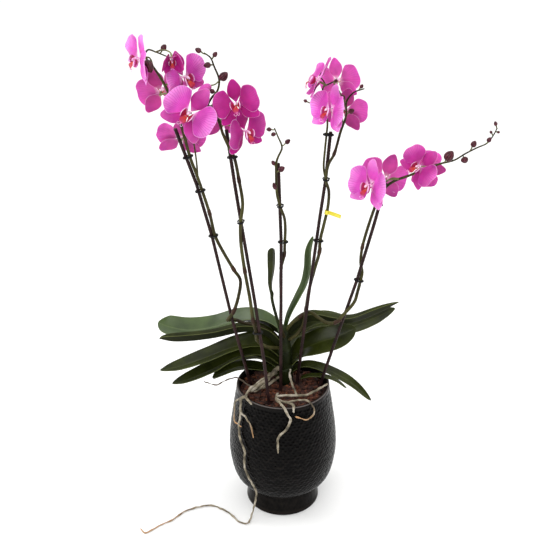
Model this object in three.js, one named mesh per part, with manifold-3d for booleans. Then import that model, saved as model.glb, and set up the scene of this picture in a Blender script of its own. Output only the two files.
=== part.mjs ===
// A moth orchid with five flower spikes, standing in an egg-shaped ceramic pot.
// Millimetres, +Z up. The origin is the middle of the pot's foot, and the plant's front looks along -Y.
// Paths are lists of [x, y, z] or [x, y, z, radius].

import * as THREE from "three";
import { mergeVertices } from "three/addons/utils/BufferGeometryUtils.js";
import Module from "manifold-3d";

const wasm = await Module();
wasm.setup();

// Driving dimensions

const clearance = 0.3;
const degree = Math.PI / 180;
const up = new THREE.Vector3(0, 0, 1);

const pot = {
  sides: 30,
  height: 252,
  rimRadius: 85,
  lip: 5,
  lipHeight: 3,
  wall: 6,
  inside: { bottom: 60, top: 240, steps: 3 },
  floor: 10,
  footRadius: 69,
  footEdge: 2,
  footHeight: 39,
  creaseRadius: 62,
  bellySteps: 8,
  // Radius and height up the belly, from the crease to the rim.
  belly: [[62, 40], [75, 47], [89, 62], [99.5, 104], [100, 146], [93.5, 199], [85.5, 247]],
};

const bark = {
  top: 238,
  gap: 0.5,
  chips: 24,
  // Each corner of a chip is drawn in or out, from `smallest` times its distance up by `vary`.
  chip: { length: 15, width: 10, height: 7, smallest: 0.7, vary: 0.4, lean: 0.3 },
  // From one chip to the next: the golden angle, which spreads them evenly.
  turn: 137.5,
  lift: 1.5,
  spread: 70,
  seed: 7,
  // A lump that lies over the rim on the left: a ball for each [x, y, z, radius].
  lump: [[-56, -33, 242, 10], [-61, -39, 249, 6], [-63.8, -42, 253.4, 4.4], [-66.5, -45, 257.8, 5.4]],
};

const crown = { sides: 10, path: [[4, 27, 215, 13], [4, 27, 250, 14], [3, 28, 300, 12], [1, 30, 346, 8]] };

const stake = { radius: 3, sides: 6, steps: 1, buried: 70 };

const stakes = {
  stake_1: [[-60, 14, 240], [-91, 10, 378], [-121, 0, 543], [-143, -10, 641], [-172, -20, 737]],
  stake_2: [
    [-25, -50, 240], [-33, -50, 322], [-49, -47, 446], [-70, -45, 590], [-79, -43, 655], [-90, -40, 741],
  ],
  stake_3: [[-4, -3, 240], [-4, -2, 380], [-4, 0, 533], [-9, 0, 673]],
  stake_4: [[26, 14, 240], [45, 16, 424], [61, 16, 567], [70, 16, 640], [76, 16, 721]],
  stake_5: [[67, 3, 240], [88, 5, 316], [104, 4, 374], [128, 3, 460], [152, 0, 564], [168, 0, 639]],
};

const clip = { thickness: 1.6, height: 3.2, stem: 3.7, corners: 3 };

// Each clip holds a spike's stem, or one of its twigs, to the stake at a height.
const clips = {
  clip_1_low: ["stake_1", 545],
  clip_1_mid: ["stake_1", 628],
  clip_1_high: ["stake_1", 688],
  clip_2_low: ["stake_2", 384],
  clip_2_mid: ["stake_2", 590],
  clip_2_high: ["stake_2", 697],
  clip_3_low: ["stake_3", 533],
  clip_3_high: ["stake_3", 600],
  clip_4_low: ["stake_4", 529],
  clip_4_mid: ["stake_4", 641],
  clip_4_high: ["stake_4", 716, 0],
  clip_5_low: ["stake_5", 460],
  clip_5_high: ["stake_5", 601],
};

const leaf = { thickness: 1.8, across: 4, along: 7, root: 0.55, widest: 0.35, taper: 6, tip: 0.1 };

// The midrib from root to tip, the half width, how steeply both halves rise from the midrib (fold) and
// how far the blade turns about it (roll), from root to tip in degrees. `far` points across the blade.
const back = [0, 1, 0];
const leaves = {
  leaf_left_1: {
    path: [
      [-8, 38, 333], [-38, 58, 343], [-80, 84, 335], [-128, 96, 315], [-181, 104, 303], [-223, 112, 308],
      [-239, 114, 315],
    ],
    halfWidth: 29, fold: [40, 12], roll: [-12, 38], far: back, wave: 2,
  },
  leaf_left_2: {
    path: [
      [-9, 27, 312], [-35, 30, 335], [-69, 34, 339], [-124, 28, 330], [-169, 20, 328], [-201, 12, 332],
      [-223, 8, 340],
    ],
    halfWidth: 22, fold: [50, 50], roll: [-10, -18], far: back, wave: 1,
  },
  leaf_left_3: {
    path: [
      [-10, 29, 288], [-39, 38, 306], [-80, 49, 300], [-146, 50, 273], [-194, 52, 254], [-232, 52, 246],
    ],
    halfWidth: 28, fold: [40, 14], roll: [5, 16], far: back, wave: 1.5,
  },
  leaf_left_4: {
    path: [
      [-10, 29, 270], [-39, 38, 286], [-80, 46, 280], [-127, 46, 254], [-175, 44, 232], [-209, 40, 224],
    ],
    halfWidth: 27, fold: [40, 16], roll: [0, 16], far: back, wave: 1.5,
  },
  leaf_left_5: {
    path: [[-8, 36, 256], [-48, 62, 268], [-94, 78, 258], [-136, 84, 228]],
    halfWidth: 20, fold: [40, 16], roll: [0, 8], far: back, wave: 1,
  },
  leaf_left_6: {
    path: [[-10, 28, 247], [-39, 36, 258], [-80, 38, 262], [-115, 38, 248], [-132, 38, 238]],
    halfWidth: 13, fold: [30, 12], roll: [0, 8], far: back, across: 2, wave: 1,
  },
  leaf_right_1: {
    path: [[9, 36, 328], [47, 46, 354], [86, 46, 353], [126, 48, 351], [173, 52, 368], [211, 54, 390]],
    halfWidth: 24, fold: [50, 40], roll: [-10, -16], far: back, wave: 2,
  },
  leaf_right_2: {
    path: [[10, 40, 317], [69, 81, 330], [127, 96, 316], [176, 108, 328], [214, 114, 346]],
    halfWidth: 24, fold: [40, 12], roll: [5, 20], far: back, wave: 1.5,
  },
  leaf_right_3: {
    path: [[16, 32, 272], [37, 41, 296], [68, 44, 311], [101, 47, 322], [134, 50, 338]],
    halfWidth: 26, fold: [20, 10], roll: [5, 60], far: back, wave: 1,
  },
  leaf_right_4: {
    path: [[11, 46, 296], [36, 86, 303], [65, 94, 302], [98, 99, 296]],
    halfWidth: 12, fold: [35, 15], roll: [0, 10], far: back, wave: 1,
  },
  leaf_right_5: {
    path: [[17, 38, 250], [39, 34, 266], [65, 34, 264], [97, 34, 250], [131, 32, 228], [167, 30, 193]],
    halfWidth: 13, fold: [35, 10], roll: [0, 34], far: back, across: 2, wave: 1, widest: 0.6,
  },
  leaf_right_6: {
    path: [[34, 26, 244], [50, 20, 253], [72, 14, 257], [95, 12, 250], [118, 12, 232]],
    halfWidth: 6.5, fold: [30, 10], roll: [0, 10], far: back, across: 2, wave: 0.5,
  },
  leaf_upright_1: {
    path: [[-20, 33, 414], [-22, 32, 436], [-20, 31, 466], [-20, 29, 500], [-21, 26, 510]],
    halfWidth: 12, fold: [60, 25], roll: [0, 0], far: [1, 0.3, 0], across: 2, wave: 0.5, widest: 0.8,
    stalk: [
      [-4, 31, 343, 3], [-13, 33, 375, 2.8], [-20, 33, 408, 2.8], [-20, 33, 418, 3.4], [-21, 32, 424, 2.4],
    ],
  },
  leaf_upright_2: {
    path: [
      [5, 40, 338], [13, 41, 372], [29, 40, 411], [39, 41, 436], [44, 43, 464], [45, 45, 498],
      [52, 47, 524],
    ],
    halfWidth: 8.5, fold: [50, 20], roll: [20, -10], far: [1, -0.5, 0], across: 2, wave: 0.5,
  },
};

// Every spike has its stem, from the crown to the tip, and rings at some of the stem's points.
// A twig is a side branch, and a bud is where it sits, where its stalk leaves the stem, and its size.
const spike = { sides: 5, twigSides: 3, sheath: 4, swell: 0.9, stalk: 1.4, budSides: 4 };

// A point of a stem beside a stake: at a height, on the side that `turn` gives in degrees (0 is to the
// right, 90 behind), `apart` between the two middles.
const touching = 6.8;
function beside(stakeName, height, turn, radius, apart = touching) {
  const middle = atHeight(stakes[stakeName], height);
  const angle = turn * degree;
  return [middle.x + apart * Math.cos(angle), middle.y + apart * Math.sin(angle), height, radius];
}

// Where a path of straight spans first passes a height.
function atHeight(path, height) {
  const i = path.findIndex(([, , z], index) => index > 0 && z >= height);
  const [low, high] = [vector(path[i - 1]), vector(path[i])];
  return low.clone().lerp(high, (height - low.z) / (high.z - low.z));
}

const spikes = {
  spike_1: {
    stem: [
      [-6, 30, 328, 3.2], [-40, 32, 350, 3.2], [-70, 33, 358, 3.2], [-88, 28, 368, 3.2],
      [-98, 15, 374, 3.2], [-98, 3, 382, 3.2], [-88, 0, 398, 3.2], [-78, 3, 430, 3.1],
      [-75, 4, 460, 3.1], [-85, 2, 479, 3.1], [-101, -2, 512, 3], beside("stake_1", 545, -20, 3),
      beside("stake_1", 585, 0, 2.8, 7.4), beside("stake_1", 628, 0, 2.8),
      beside("stake_1", 660, 0, 2.7), beside("stake_1", 688, 0, 2.7), beside("stake_1", 735, 0, 2.6, 10.9),
      [-176, -21, 785, 2.5], [-187, -22, 812, 2.3], [-200, -20, 833, 1.8], [-213, -16, 851, 1.6],
      [-208, -14, 859, 1.4], [-196, -12, 855, 1.2], [-178, -10, 847, 1],
    ],
    rings: [6, 9, 12],
    twigs: [
      [beside("stake_1", 655, 0, 2.3), [-141, -8, 668, 1.6], [-143, -12, 700, 1.4], [-146, -18, 728, 1.3]],
    ],
    buds: [
      { at: [-206, -31, 838], from: [-213, -16, 851], size: [7, 12] },
      { at: [-184, -12, 862], from: [-190, -12, 853], size: [4.5, 5.5] },
      { at: [-181, -8, 836], from: [-180, -10, 848], size: [5.5, 7] },
    ],
  },
  spike_2: {
    stem: [
      [-6, 22, 312, 3.2], [-14, 6, 322, 3.2], [-32, -28, 345, 3.2], [-46, -45, 368, 3.2],
      beside("stake_2", 380, 170, 3.2), beside("stake_2", 388, 172, 3.2),
      beside("stake_2", 404, 175, 3.1, 7.9), beside("stake_2", 450, 180, 3.1, 7.5),
      beside("stake_2", 498, 180, 3, 7.9), beside("stake_2", 550, 195, 3),
      beside("stake_2", 590, -90, 3, 7.3), beside("stake_2", 620, -10, 2.8, 7.9),
      beside("stake_2", 657, 0, 2.8, 7.9), beside("stake_2", 697, -20, 2.7),
      beside("stake_2", 718, -90, 2.6, 8.1), [-96, -49, 740, 2.4], [-99, -46, 751, 2.3],
      [-106, -42, 765, 1.9], [-117, -42, 779, 1.8], [-112, -42, 791, 1.8], [-102, -42, 803, 1.7],
      [-99, -42, 820, 1.6], [-106, -42, 840, 1.4], [-111, -42, 853, 1.2], [-120, -42, 860, 1],
    ],
    rings: [6, 8, 12],
    twigs: [],
    buds: [
      { at: [-129, -42, 864], from: [-118, -42, 859], size: [4, 5] },
      { at: [-104, -42, 858], from: [-110, -42, 851], size: [3.6, 4.4] },
      { at: [-116, -43, 842], from: [-107, -42, 842], size: [4.6, 5.6] },
      { at: [-92, -42, 825], from: [-99, -42, 818], size: [6.5, 8] },
      { at: [-110, -46, 803], from: [-103, -42, 801], size: [3.8, 4.6] },
      { at: [-106, -47, 781], from: [-116, -42, 780], size: [5, 6] },
      { at: [-121, -47, 807], from: [-100, -42, 818], size: [6.5, 12] },
    ],
  },
  spike_3: {
    stem: [
      [2, 20, 336, 3], beside("stake_3", 366, 90, 3, 8.9), beside("stake_3", 420, 90, 2.8),
      beside("stake_3", 480, 90, 2.8, 7.9), beside("stake_3", 505, 45, 2.7, 7.4),
      beside("stake_3", 533, 0, 2.7), beside("stake_3", 560, 0, 2.6, 7.9),
      beside("stake_3", 580, -32, 2.5, 7.9), beside("stake_3", 600, -85, 2.5),
      beside("stake_3", 622, -122, 2.4, 7.4), beside("stake_3", 655, -125, 2.3, 7.4),
      [-12, -7, 677, 2], [-9, -5, 686, 1.8], [-3, -1, 700, 1.6], [-10, 2, 718, 1.3], [-15, 2, 731, 1],
    ],
    rings: [3, 4],
    twigs: [],
    buds: [
      { at: [6, 2, 709], from: [-4, 0, 702], size: [4, 5] },
      { at: [-17, -2, 722], from: [-12, 2, 722], size: [3.6, 4.2] },
      { at: [-24, 2, 729], from: [-14, 2, 729], size: [3.6, 4.2] },
      { at: [-17, -5, 675], from: [-12, -7, 668], size: [3.6, 4.4] },
      { at: [-3.5, -11, 667], from: [-12, -7, 660], size: [4.8, 6] },
      { at: [-15, -10, 637], from: [-11.5, -6.5, 625], size: [3.6, 7] },
    ],
  },
  spike_4: {
    stem: [
      [12, 22, 330, 3.2], [25, 20, 342, 3.2], [36, 22, 360, 3.2], beside("stake_4", 390, 95, 3.2, 8.1),
      beside("stake_4", 430, 90, 3.2, 7.1), beside("stake_4", 475, 50, 3.1, 7.5),
      beside("stake_4", 505, 10, 3.1, 8.1), beside("stake_4", 529, 0, 3),
      beside("stake_4", 560, 0, 2.8, 8.9), beside("stake_4", 590, 0, 2.7, 10.9),
      beside("stake_4", 620, -20, 2.7, 8.4), beside("stake_4", 641, -90, 2.6),
      beside("stake_4", 668, -80, 2.5, 7.9), [82, 11, 684, 2.4], [92, 12, 723, 2.3], [100, 13, 749, 1.8],
      [100, 14, 771, 1.6], [111, 14, 786, 1.3], [127, 14, 792, 1],
    ],
    rings: [3, 6, 13],
    twigs: [
      [
        beside("stake_4", 641, -90, 2.3), beside("stake_4", 660, -150, 1.9),
        beside("stake_4", 690, 180, 1.9), beside("stake_4", 716, 180, 1.8), [70, 10, 740, 1.7],
        [65, 9, 762, 1.6], [61, 12, 790, 1.4], [64, 14, 801, 1.2], [58, 14, 810, 1],
      ],
      [[62, 12, 796, 1.2], [72, 14, 800, 1.1], [80, 14, 804, 1]],
      [[65, 9, 762, 1.2], [52, 9, 766, 1], [36, 8, 773, 1]],
    ],
    buds: [
      { at: [94, 12, 779], from: [100, 14, 770], size: [3.8, 4.6] },
      { at: [108, 10, 757], from: [100, 13, 752], size: [4.2, 5.2] },
      { at: [123, 14, 796], from: [118, 14, 789], size: [3, 3.6] },
      { at: [58, 17, 814], from: [58, 14, 808], size: [3, 3.6] },
      { at: [82, 14, 805], from: [78, 14, 803], size: [2.6, 3] },
      { at: [34, 8, 774], from: [38, 8, 772], size: [2.8, 3.2] },
    ],
  },
  spike_5: {
    stem: [
      [4, 29, 343, 3.2], [16, 27, 361, 3.2], [31, 29, 373, 3.2], [41, 30, 381, 3.2], [51, 22, 385, 3.2],
      [63, 9, 382, 3.2], [77, -4, 379, 3.2], [92, -7, 381, 3.2], [106, -5, 396, 3.1],
      beside("stake_5", 418, -20, 3.1, 8.9), beside("stake_5", 436, 0, 3.1, 8.4),
      beside("stake_5", 460, 0, 3), beside("stake_5", 472, 40, 3, 7.7),
      beside("stake_5", 490, 100, 2.8, 7.7), beside("stake_5", 520, 160, 2.7, 7.9),
      beside("stake_5", 560, 180, 2.7, 8.9), beside("stake_5", 601, 160, 2.6),
      beside("stake_5", 616, 115, 2.5, 7.2), beside("stake_5", 632, 50, 2.4, 8.4), [185, 2, 643, 2.3],
      [202, -4, 652, 2.3], [240, -6, 669, 1.8], [257, -6, 675, 1.7], [276, -6, 680, 1.5],
      [293, -6, 691, 1.4], [311, -6, 701, 1.3], [327, -6, 709, 1.2], [335, -6, 721, 1.1],
      [340, -6, 733, 1],
    ],
    rings: [2, 7, 14],
    twigs: [],
    buds: [
      { at: [267, -8, 688], from: [258, -6, 676], size: [8, 9.5] },
      { at: [293, -7, 681], from: [288, -6, 689], size: [6, 5.5] },
      { at: [305, -8, 708], from: [300, -6, 695], size: [4.8, 5.8] },
      { at: [329, -8, 715], from: [326, -6, 709], size: [3.8, 4.6] },
      { at: [331, -6, 727], from: [335, -6, 721], size: [2.4, 2.8] },
      { at: [343, -6, 727], from: [338, -6, 727], size: [2.2, 2.6] },
      { at: [337, -6, 741], from: [340, -6, 733], size: [3, 4] },
    ],
  },
};

// A bloom at full size and wide open: three sepals behind, two broad petals, a lip and a column.
const bloom = {
  thickness: 0.9,
  // The hub's front rises to the column's tip.
  hub: { front: 11, back: 4 },
  inset: 4.5,
  claw: 1.8,
  clawThickness: 1.6,
  stalkRun: 12,
  closing: 62,
  ripple: { height: 0.7, waves: 5, shift: 6 },
  sepal: { reach: 42, halfWidth: 12.6, across: 2, along: 2, lift: -2, bend: -0.08, cup: -1, tipRound: 0.1 },
  petal: {
    reach: 40, halfWidth: 22.5, across: 4, along: 3, lift: 1.6, bend: 0.05, cup: 0.8, tipRound: 0.3,
  },
  // Round the hub, clockwise from the top.
  tepals: [[0, "sepal"], [80, "petal"], [130, "sepal"], [230, "sepal"], [280, "petal"]],
  // The lip's middle lobe hangs down and out, and its side lobes stand up beside the column.
  // Its outline and its arch each follow a piece of a half wave.
  lip: {
    start: 2, length: 17, halfWidth: 5, rise: 10, outline: [0.2, 0.9], arch: 0.7,
    sideStart: 2, side: 8, sideUp: 5, sideOut: 12,
  },
};

// Each bloom's middle, the way it faces (turn to the viewer's right and tilt up), its roll clockwise,
// how open it is, its size, and where its stalk leaves the spike.
const blooms = {
  bloom_1a: { at: [-221, -25, 848], turn: -58, roll: 24, open: 0.9, from: [-201, -20, 835] },
  bloom_1b: { at: [-194, 8, 790], turn: 178, tilt: 12, roll: 16, size: 1.04, from: [-178, -22, 790] },
  bloom_1c: { at: [-167, -62, 855], turn: 12, tilt: -24, open: 0.3, size: 0.66, from: [-196, -12, 855] },
  bloom_1d: {
    at: [-153, -36, 822], turn: 48, tilt: 5, roll: -16, open: 0.86, size: 1.05, from: [-184, -22, 805],
  },
  bloom_1e: {
    at: [-143, -75, 777], turn: -5, tilt: 14, roll: 38, open: 0.95, size: 1.1, from: [-167, -22, 757],
  },
  bloom_1f: {
    at: [-167, 14, 712], turn: 179, tilt: 28, roll: -8, open: 0.94, size: 1.04, from: [-157, -20, 722],
  },
  bloom_2a: { at: [-72, -74, 791], turn: -12, tilt: 18, roll: -16, size: 0.92, from: [-104, -42, 760] },
  bloom_2b: { at: [-60, -66, 746], turn: 44, tilt: 2, roll: -8, open: 0.88, from: [-98, -46, 749] },
  bloom_2c: { at: [-98, -14, 750], turn: 178, size: 0.8, from: [-100, -44, 755] },
  bloom_4a: { at: [53, 2, 808], turn: -88, tilt: 30, roll: -8, open: 0.84, from: [63, 12, 794] },
  bloom_4b: {
    at: [87, 42, 798], turn: 155, tilt: 4, roll: 11, open: 0.82, size: 0.92, from: [100, 14, 762],
  },
  bloom_4c: { at: [72, -34, 770], turn: -52, tilt: 18, roll: 2, open: 0.8, from: [66, 9, 758] },
  bloom_4d: {
    at: [99, 34, 753], turn: 160, tilt: 12, roll: -12, open: 0.92, size: 0.98, from: [94, 14, 732],
  },
  bloom_5a: { at: [139, -34, 646], turn: -50, tilt: 13, open: 0.8, size: 1.08, from: [190, 0, 646] },
  bloom_5b: {
    at: [169, 28, 638], turn: 180, tilt: 5, roll: -22, open: 0.76, size: 1.08, from: [190, -6, 644],
  },
  bloom_5c: {
    at: [216, -34, 679], turn: -40, tilt: 16, roll: 42, open: 0.9, size: 0.9, from: [232, -6, 666],
  },
  bloom_5d: {
    at: [236, 18, 659], turn: 152, tilt: -26, roll: -88, open: 0.74, size: 0.82, from: [222, -6, 662],
  },
};

// Roots, each a bunch of paths joined into one piece.
const root = { sides: 5, steps: 1 };

const roots = {
  roots_left: [
    [
      [-9, 18, 272, 4.2], [-20, 2, 269, 4.2], [-33, -12, 265, 4.2], [-50, -27, 260, 4.4],
      [-58, -37, 259, 4.4],
    ],
    [
      [-8, 15, 254, 2.6], [-18, 3, 253, 2.6], [-33, -14, 252, 2.6], [-50, -27, 255, 2.8],
      [-57, -36, 258, 3],
    ],
    [
      [-50, -27, 258, 1.6], [-62, -14, 254, 1.5], [-74, 2, 254, 1.4], [-86, 9, 257, 1.3],
      [-110, 18, 243, 1.2], [-125, 26, 230, 1.1], [-148, 36, 231, 1],
    ],
    [[-50, -27, 261, 3], [-57, -38, 266, 2.2], [-61, -46.5, 264.5, 2], [-65, -53, 261, 2], [-66, -57, 258, 2]],
    [
      [-66, -56, 258, 2.6], [-75, -55, 253, 2.4], [-76, -54, 236, 2.3], [-77, -56, 211, 2.2],
      [-80, -57, 196, 2.2], [-76, -67, 170, 2.1], [-70, -77, 157, 2.1], [-70, -79, 122, 2],
      [-61, -84, 99, 2], [-49, -83, 68, 2], [-52, -80, 40, 1.7], [-58, -81, 14, 1.6], [-61, -84, 3, 1.5],
      [-66, -92, 2, 1.5], [-79, -90, 2, 1.5], [-102, -63, 2, 1.5], [-137, -42, 2, 1.5],
      [-159, -46, 2, 1.5], [-185, -58, 2, 1.4], [-206, -82, 1.8, 1.3], [-229, -98, 1.8, 1.2],
      [-253, -118, 1.8, 1.2], [-263, -107, 1.6, 1.1],
    ],
    [
      [-74, -52, 254, 2], [-86, -40, 236, 1.6], [-88, -38, 215, 1.4], [-89, -40, 198, 1.3],
      [-76, -62, 198, 1],
    ],
    [[-77, -56, 226, 1.8], [-67, -67, 222, 1.6], [-57, -77, 208, 1.4], [-53, -83, 190, 1.2]],
    [[-66, -56, 256, 2.4], [-61, -66, 256, 2.2], [-56, -76, 256, 1.6]],
  ],
  roots_front: [
    [
      [-12, -40, 248, 2.4], [10, -38, 249, 2.4], [25, -40, 250, 2.6], [42, -40, 251, 2.6],
      [58, -31, 254, 2.4], [80, -15, 258, 1.6],
    ],
    [[13, -14, 288, 1.6], [12, -14, 276, 2], [18, -22, 258, 2], [24, -38, 248, 2]],
    [
      [-10, -28, 246, 2.4], [-13, -50, 250, 2.4], [-6, -74, 256, 2.4], [2, -88, 254, 2.3],
      [12, -92, 232, 2.3], [7, -95, 219, 2.3], [-9, -98, 198, 2.2], [-9, -102, 170, 1.5],
    ],
    [[-12, -48, 249, 2.4], [-3, -58, 249, 2.4], [8, -68, 254, 2.4], [17, -83, 257, 2.2], [18, -89, 248, 2]],
    [
      [6, -66, 252, 1.8], [26, -64, 256, 1.7], [42, -68, 258, 1.6], [53, -74, 248, 1.5],
      [54, -78, 236, 1.4], [42, -83, 228, 1.3], [22, -92, 240, 1.1],
    ],
  ],
};

// A flag label: a loop round a spike's stem at a height, and a tail that droops to the right.
const tag = {
  spike: "spike_4", height: 581, loop: 3.4, loopSides: 10, length: 22, width: 7, thickness: 0.8,
};

// Solids

function merged(geometry) {
  const plain = geometry.clone();
  plain.deleteAttribute("normal");
  plain.deleteAttribute("uv");
  return mergeVertices(plain, 1e-4);
}

// Turns a closed geometry into a solid, with its faces pointing out.
function solid(geometry) {
  const shape = merged(geometry);
  const vertProperties = Float32Array.from(shape.attributes.position.array);
  const triVerts = Uint32Array.from(shape.index.array);
  if (signedVolume(vertProperties, triVerts) < 0) {
    for (let i = 0; i < triVerts.length; i += 3) {
      [triVerts[i], triVerts[i + 1]] = [triVerts[i + 1], triVerts[i]];
    }
  }
  return new wasm.Manifold(new wasm.Mesh({ numProp: 3, vertProperties, triVerts }));
}

function signedVolume(points, triangles) {
  const corner = (i) => new THREE.Vector3().fromArray(points, triangles[i] * 3);
  let volume = 0;
  for (let i = 0; i < triangles.length; i += 3) {
    volume += corner(i).dot(corner(i + 1).cross(corner(i + 2)));
  }
  return volume;
}

function fuse(solids) {
  return solids.reduce((whole, piece) => whole.add(piece));
}

function geometryOf(body) {
  const mesh = body.getMesh();
  const geometry = new THREE.BufferGeometry();
  geometry.setAttribute("position", new THREE.Float32BufferAttribute(mesh.vertProperties, mesh.numProp));
  geometry.setIndex(new THREE.Uint32BufferAttribute(mesh.triVerts, 1));
  geometry.computeVertexNormals();
  return geometry;
}

const mix = (a, b, t) => a + (b - a) * t;

function vector(p) {
  return new THREE.Vector3(p[0], p[1], p[2]);
}

// A smooth curve through a path.
function curveOf(path) {
  return new THREE.CatmullRomCurve3(path.map(vector), false, "centripetal");
}

// A seeded draw between 0 and 1.
function randomFrom(seed) {
  let state = seed;
  return () => {
    state = (state * 16807) % 2147483647;
    return state / 2147483647;
  };
}

function circle(radius, sides, flat = 1) {
  const shape = new THREE.Shape();
  for (let i = 0; i < sides; i++) {
    const angle = (i / sides) * 2 * Math.PI;
    const [x, y] = [radius * Math.cos(angle), radius * flat * Math.sin(angle)];
    i ? shape.lineTo(x, y) : shape.moveTo(x, y);
  }
  shape.closePath();
  return shape;
}

// A round rod along a path whose fourth numbers are its radius there: a straight bar of radius 1,
// bent along the curve by a frame that is carried on from step to step.
function limb(path, sides, stepsPerSpan, grow = 0) {
  const curve = curveOf(path);
  const spans = path.length - 1;
  const steps = spans * stepsPerSpan;
  const bar = new THREE.ExtrudeGeometry(circle(1, sides), { depth: 1, steps, bevelEnabled: false });
  const frames = [];
  let side = new THREE.Vector3(0.3, 1, 0.2);
  for (let i = 0; i <= steps; i++) {
    const t = i / steps;
    const along = curve.getTangent(t);
    side = side.clone().addScaledVector(along, -side.dot(along)).normalize();
    const span = Math.min(spans - 1, Math.floor(t * spans));
    const radius = mix(path[span][3], path[span + 1][3], t * spans - span) + grow;
    const end = (i === steps) - (i === 0);
    const centre = curve.getPoint(t).addScaledVector(along, end * grow);
    frames.push({ centre, side, other: along.clone().cross(side), radius });
  }
  const position = bar.attributes.position;
  for (let i = 0; i < position.count; i++) {
    const { centre, side: across, other, radius } = frames[Math.round(position.getZ(i) * steps)];
    const point = centre.clone();
    point.addScaledVector(across, position.getX(i) * radius);
    point.addScaledVector(other, position.getY(i) * radius);
    position.setXYZ(i, point.x, point.y, point.z);
  }
  return solid(bar);
}

// The two faces of a thin blade at (u, v), half its thickness away from the middle surface place(u, v).
const nudge = 1e-3;
function bladePair(place, u, v, thickness) {
  const across = place(u + nudge, v).sub(place(u - nudge, v));
  const along = place(u, v + nudge).sub(place(u, v - nudge));
  const normal = across.cross(along).normalize();
  return [0.5, -0.5].map((face) => place(u, v).addScaledVector(normal, face * thickness));
}

// A row of such pairs from edge to edge.
function bladeRow(place, v, across, thickness) {
  return Array.from({ length: across + 1 }, (_, i) => bladePair(place, (2 * i) / across - 1, v, thickness));
}

// A thin blade with u across from -1 to 1 and v from root to tip. Both faces are split alike, so a waved
// blade never crosses itself.
function blade(place, across, along, thickness) {
  const grid = [];
  for (let j = 0; j <= along; j++) grid.push(...bladeRow(place, j / along, across, thickness));
  const points = [0, 1].flatMap((face) => grid.flatMap((pair) => pair[face].toArray()));
  const row = across + 1;
  const sheet = row * (along + 1);
  const faces = [];
  const quad = (a, b, c, d) => faces.push(a, b, c, a, c, d);
  for (let j = 0; j < along; j++) {
    for (let i = 0; i < across; i++) {
      const a = j * row + i;
      const b = sheet + a;
      faces.push(a, a + 1, a + row + 1, a, a + row + 1, a + row);
      faces.push(b, b + row + 1, b + 1, b, b + row, b + row + 1);
    }
    const [left, right] = [j * row, j * row + across];
    quad(left, left + row, sheet + left + row, sheet + left);
    quad(right, sheet + right, sheet + right + row, right + row);
  }
  for (let i = 0; i < across; i++) {
    const [near, end] = [i, along * row + i];
    quad(near, sheet + near, sheet + near + 1, near + 1);
    quad(end, end + 1, sheet + end + 1, sheet + end);
  }
  const geometry = new THREE.BufferGeometry();
  geometry.setAttribute("position", new THREE.Float32BufferAttribute(points, 3));
  geometry.setIndex(faces);
  return solid(geometry);
}

function lathe(profile, sides) {
  const points = profile.map(([radius, height]) => new THREE.Vector2(radius, height));
  return solid(new THREE.LatheGeometry(points, sides).rotateX(Math.PI / 2));
}

// Materials and nodes

const orchid = new THREE.Group();

function material(color, roughness, metalness = 0) {
  return () => new THREE.MeshStandardMaterial({ color, roughness, metalness });
}

const finishes = {
  ceramic: material("#1e1b1a", 0.45),
  bark: material("#5b2a1a", 0.9),
  stem: material("#4a4a34", 0.6),
  leaf: material("#43592f", 0.5),
  stake: material("#2b1b1e", 0.6),
  clip: material("#1a1a1c", 0.4),
  petal: material("#d94fb8", 0.6),
  root: material("#b9ae9a", 0.8),
  tag: material("#e8dc4a", 0.5),
};

function addNode(name, geometry, finish) {
  const mesh = new THREE.Mesh(geometry, finishes[finish]());
  mesh.name = name;
  orchid.add(mesh);
  return mesh;
}

// Pot

// Points up the belly between two heights, `inset` in from the outside.
function bellyPoints(inset, from, to, steps) {
  const curve = new THREE.SplineCurve(pot.belly.map(([r, z]) => new THREE.Vector2(r, z)));
  const points = curve.getPoints(steps).filter((p) => p.y >= from && p.y <= to);
  return points.map((p) => [p.x - inset, p.y]);
}

// The pot's inside from the floor to the rim, `gap` away from the wall.
function insidePoints(gap) {
  const { top, bottom, steps } = pot.inside;
  const waist = pot.creaseRadius - pot.wall - gap;
  return [
    [0, pot.floor + gap],
    [waist, pot.floor + gap],
    [waist, pot.footHeight],
    ...bellyPoints(pot.wall + gap, bottom, top, steps),
    [pot.rimRadius - pot.lip - gap, pot.height - pot.lipHeight],
  ];
}

function potSolid() {
  const profile = [
    [0, 0],
    [pot.footRadius - pot.footEdge, 0],
    [pot.footRadius, pot.footEdge],
    [pot.creaseRadius + 1, pot.footHeight],
    ...bellyPoints(0, 0, pot.height, pot.bellySteps),
    [pot.rimRadius - 1, pot.height],
    [pot.rimRadius - pot.lip + 1, pot.height],
    ...insidePoints(0).reverse(),
  ];
  return lathe(profile, pot.sides);
}

addNode("pot", geometryOf(potSolid()), "ceramic");

// Stakes

// A stake runs on straight down into the bark.
function stakeSolid(path, grow = 0) {
  const [foot, next] = [vector(path[0]), vector(path[1])];
  const down = foot.clone().sub(next).normalize();
  const end = foot.clone().addScaledVector(down, stake.buried);
  const rod = [end, ...path.map(vector)].map((p) => [...p.toArray(), stake.radius]);
  return limb(rod, stake.sides, stake.steps, grow);
}

for (const [name, path] of Object.entries(stakes)) {
  addNode(name, geometryOf(stakeSolid(path)), "stake");
}

// Clips

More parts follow.
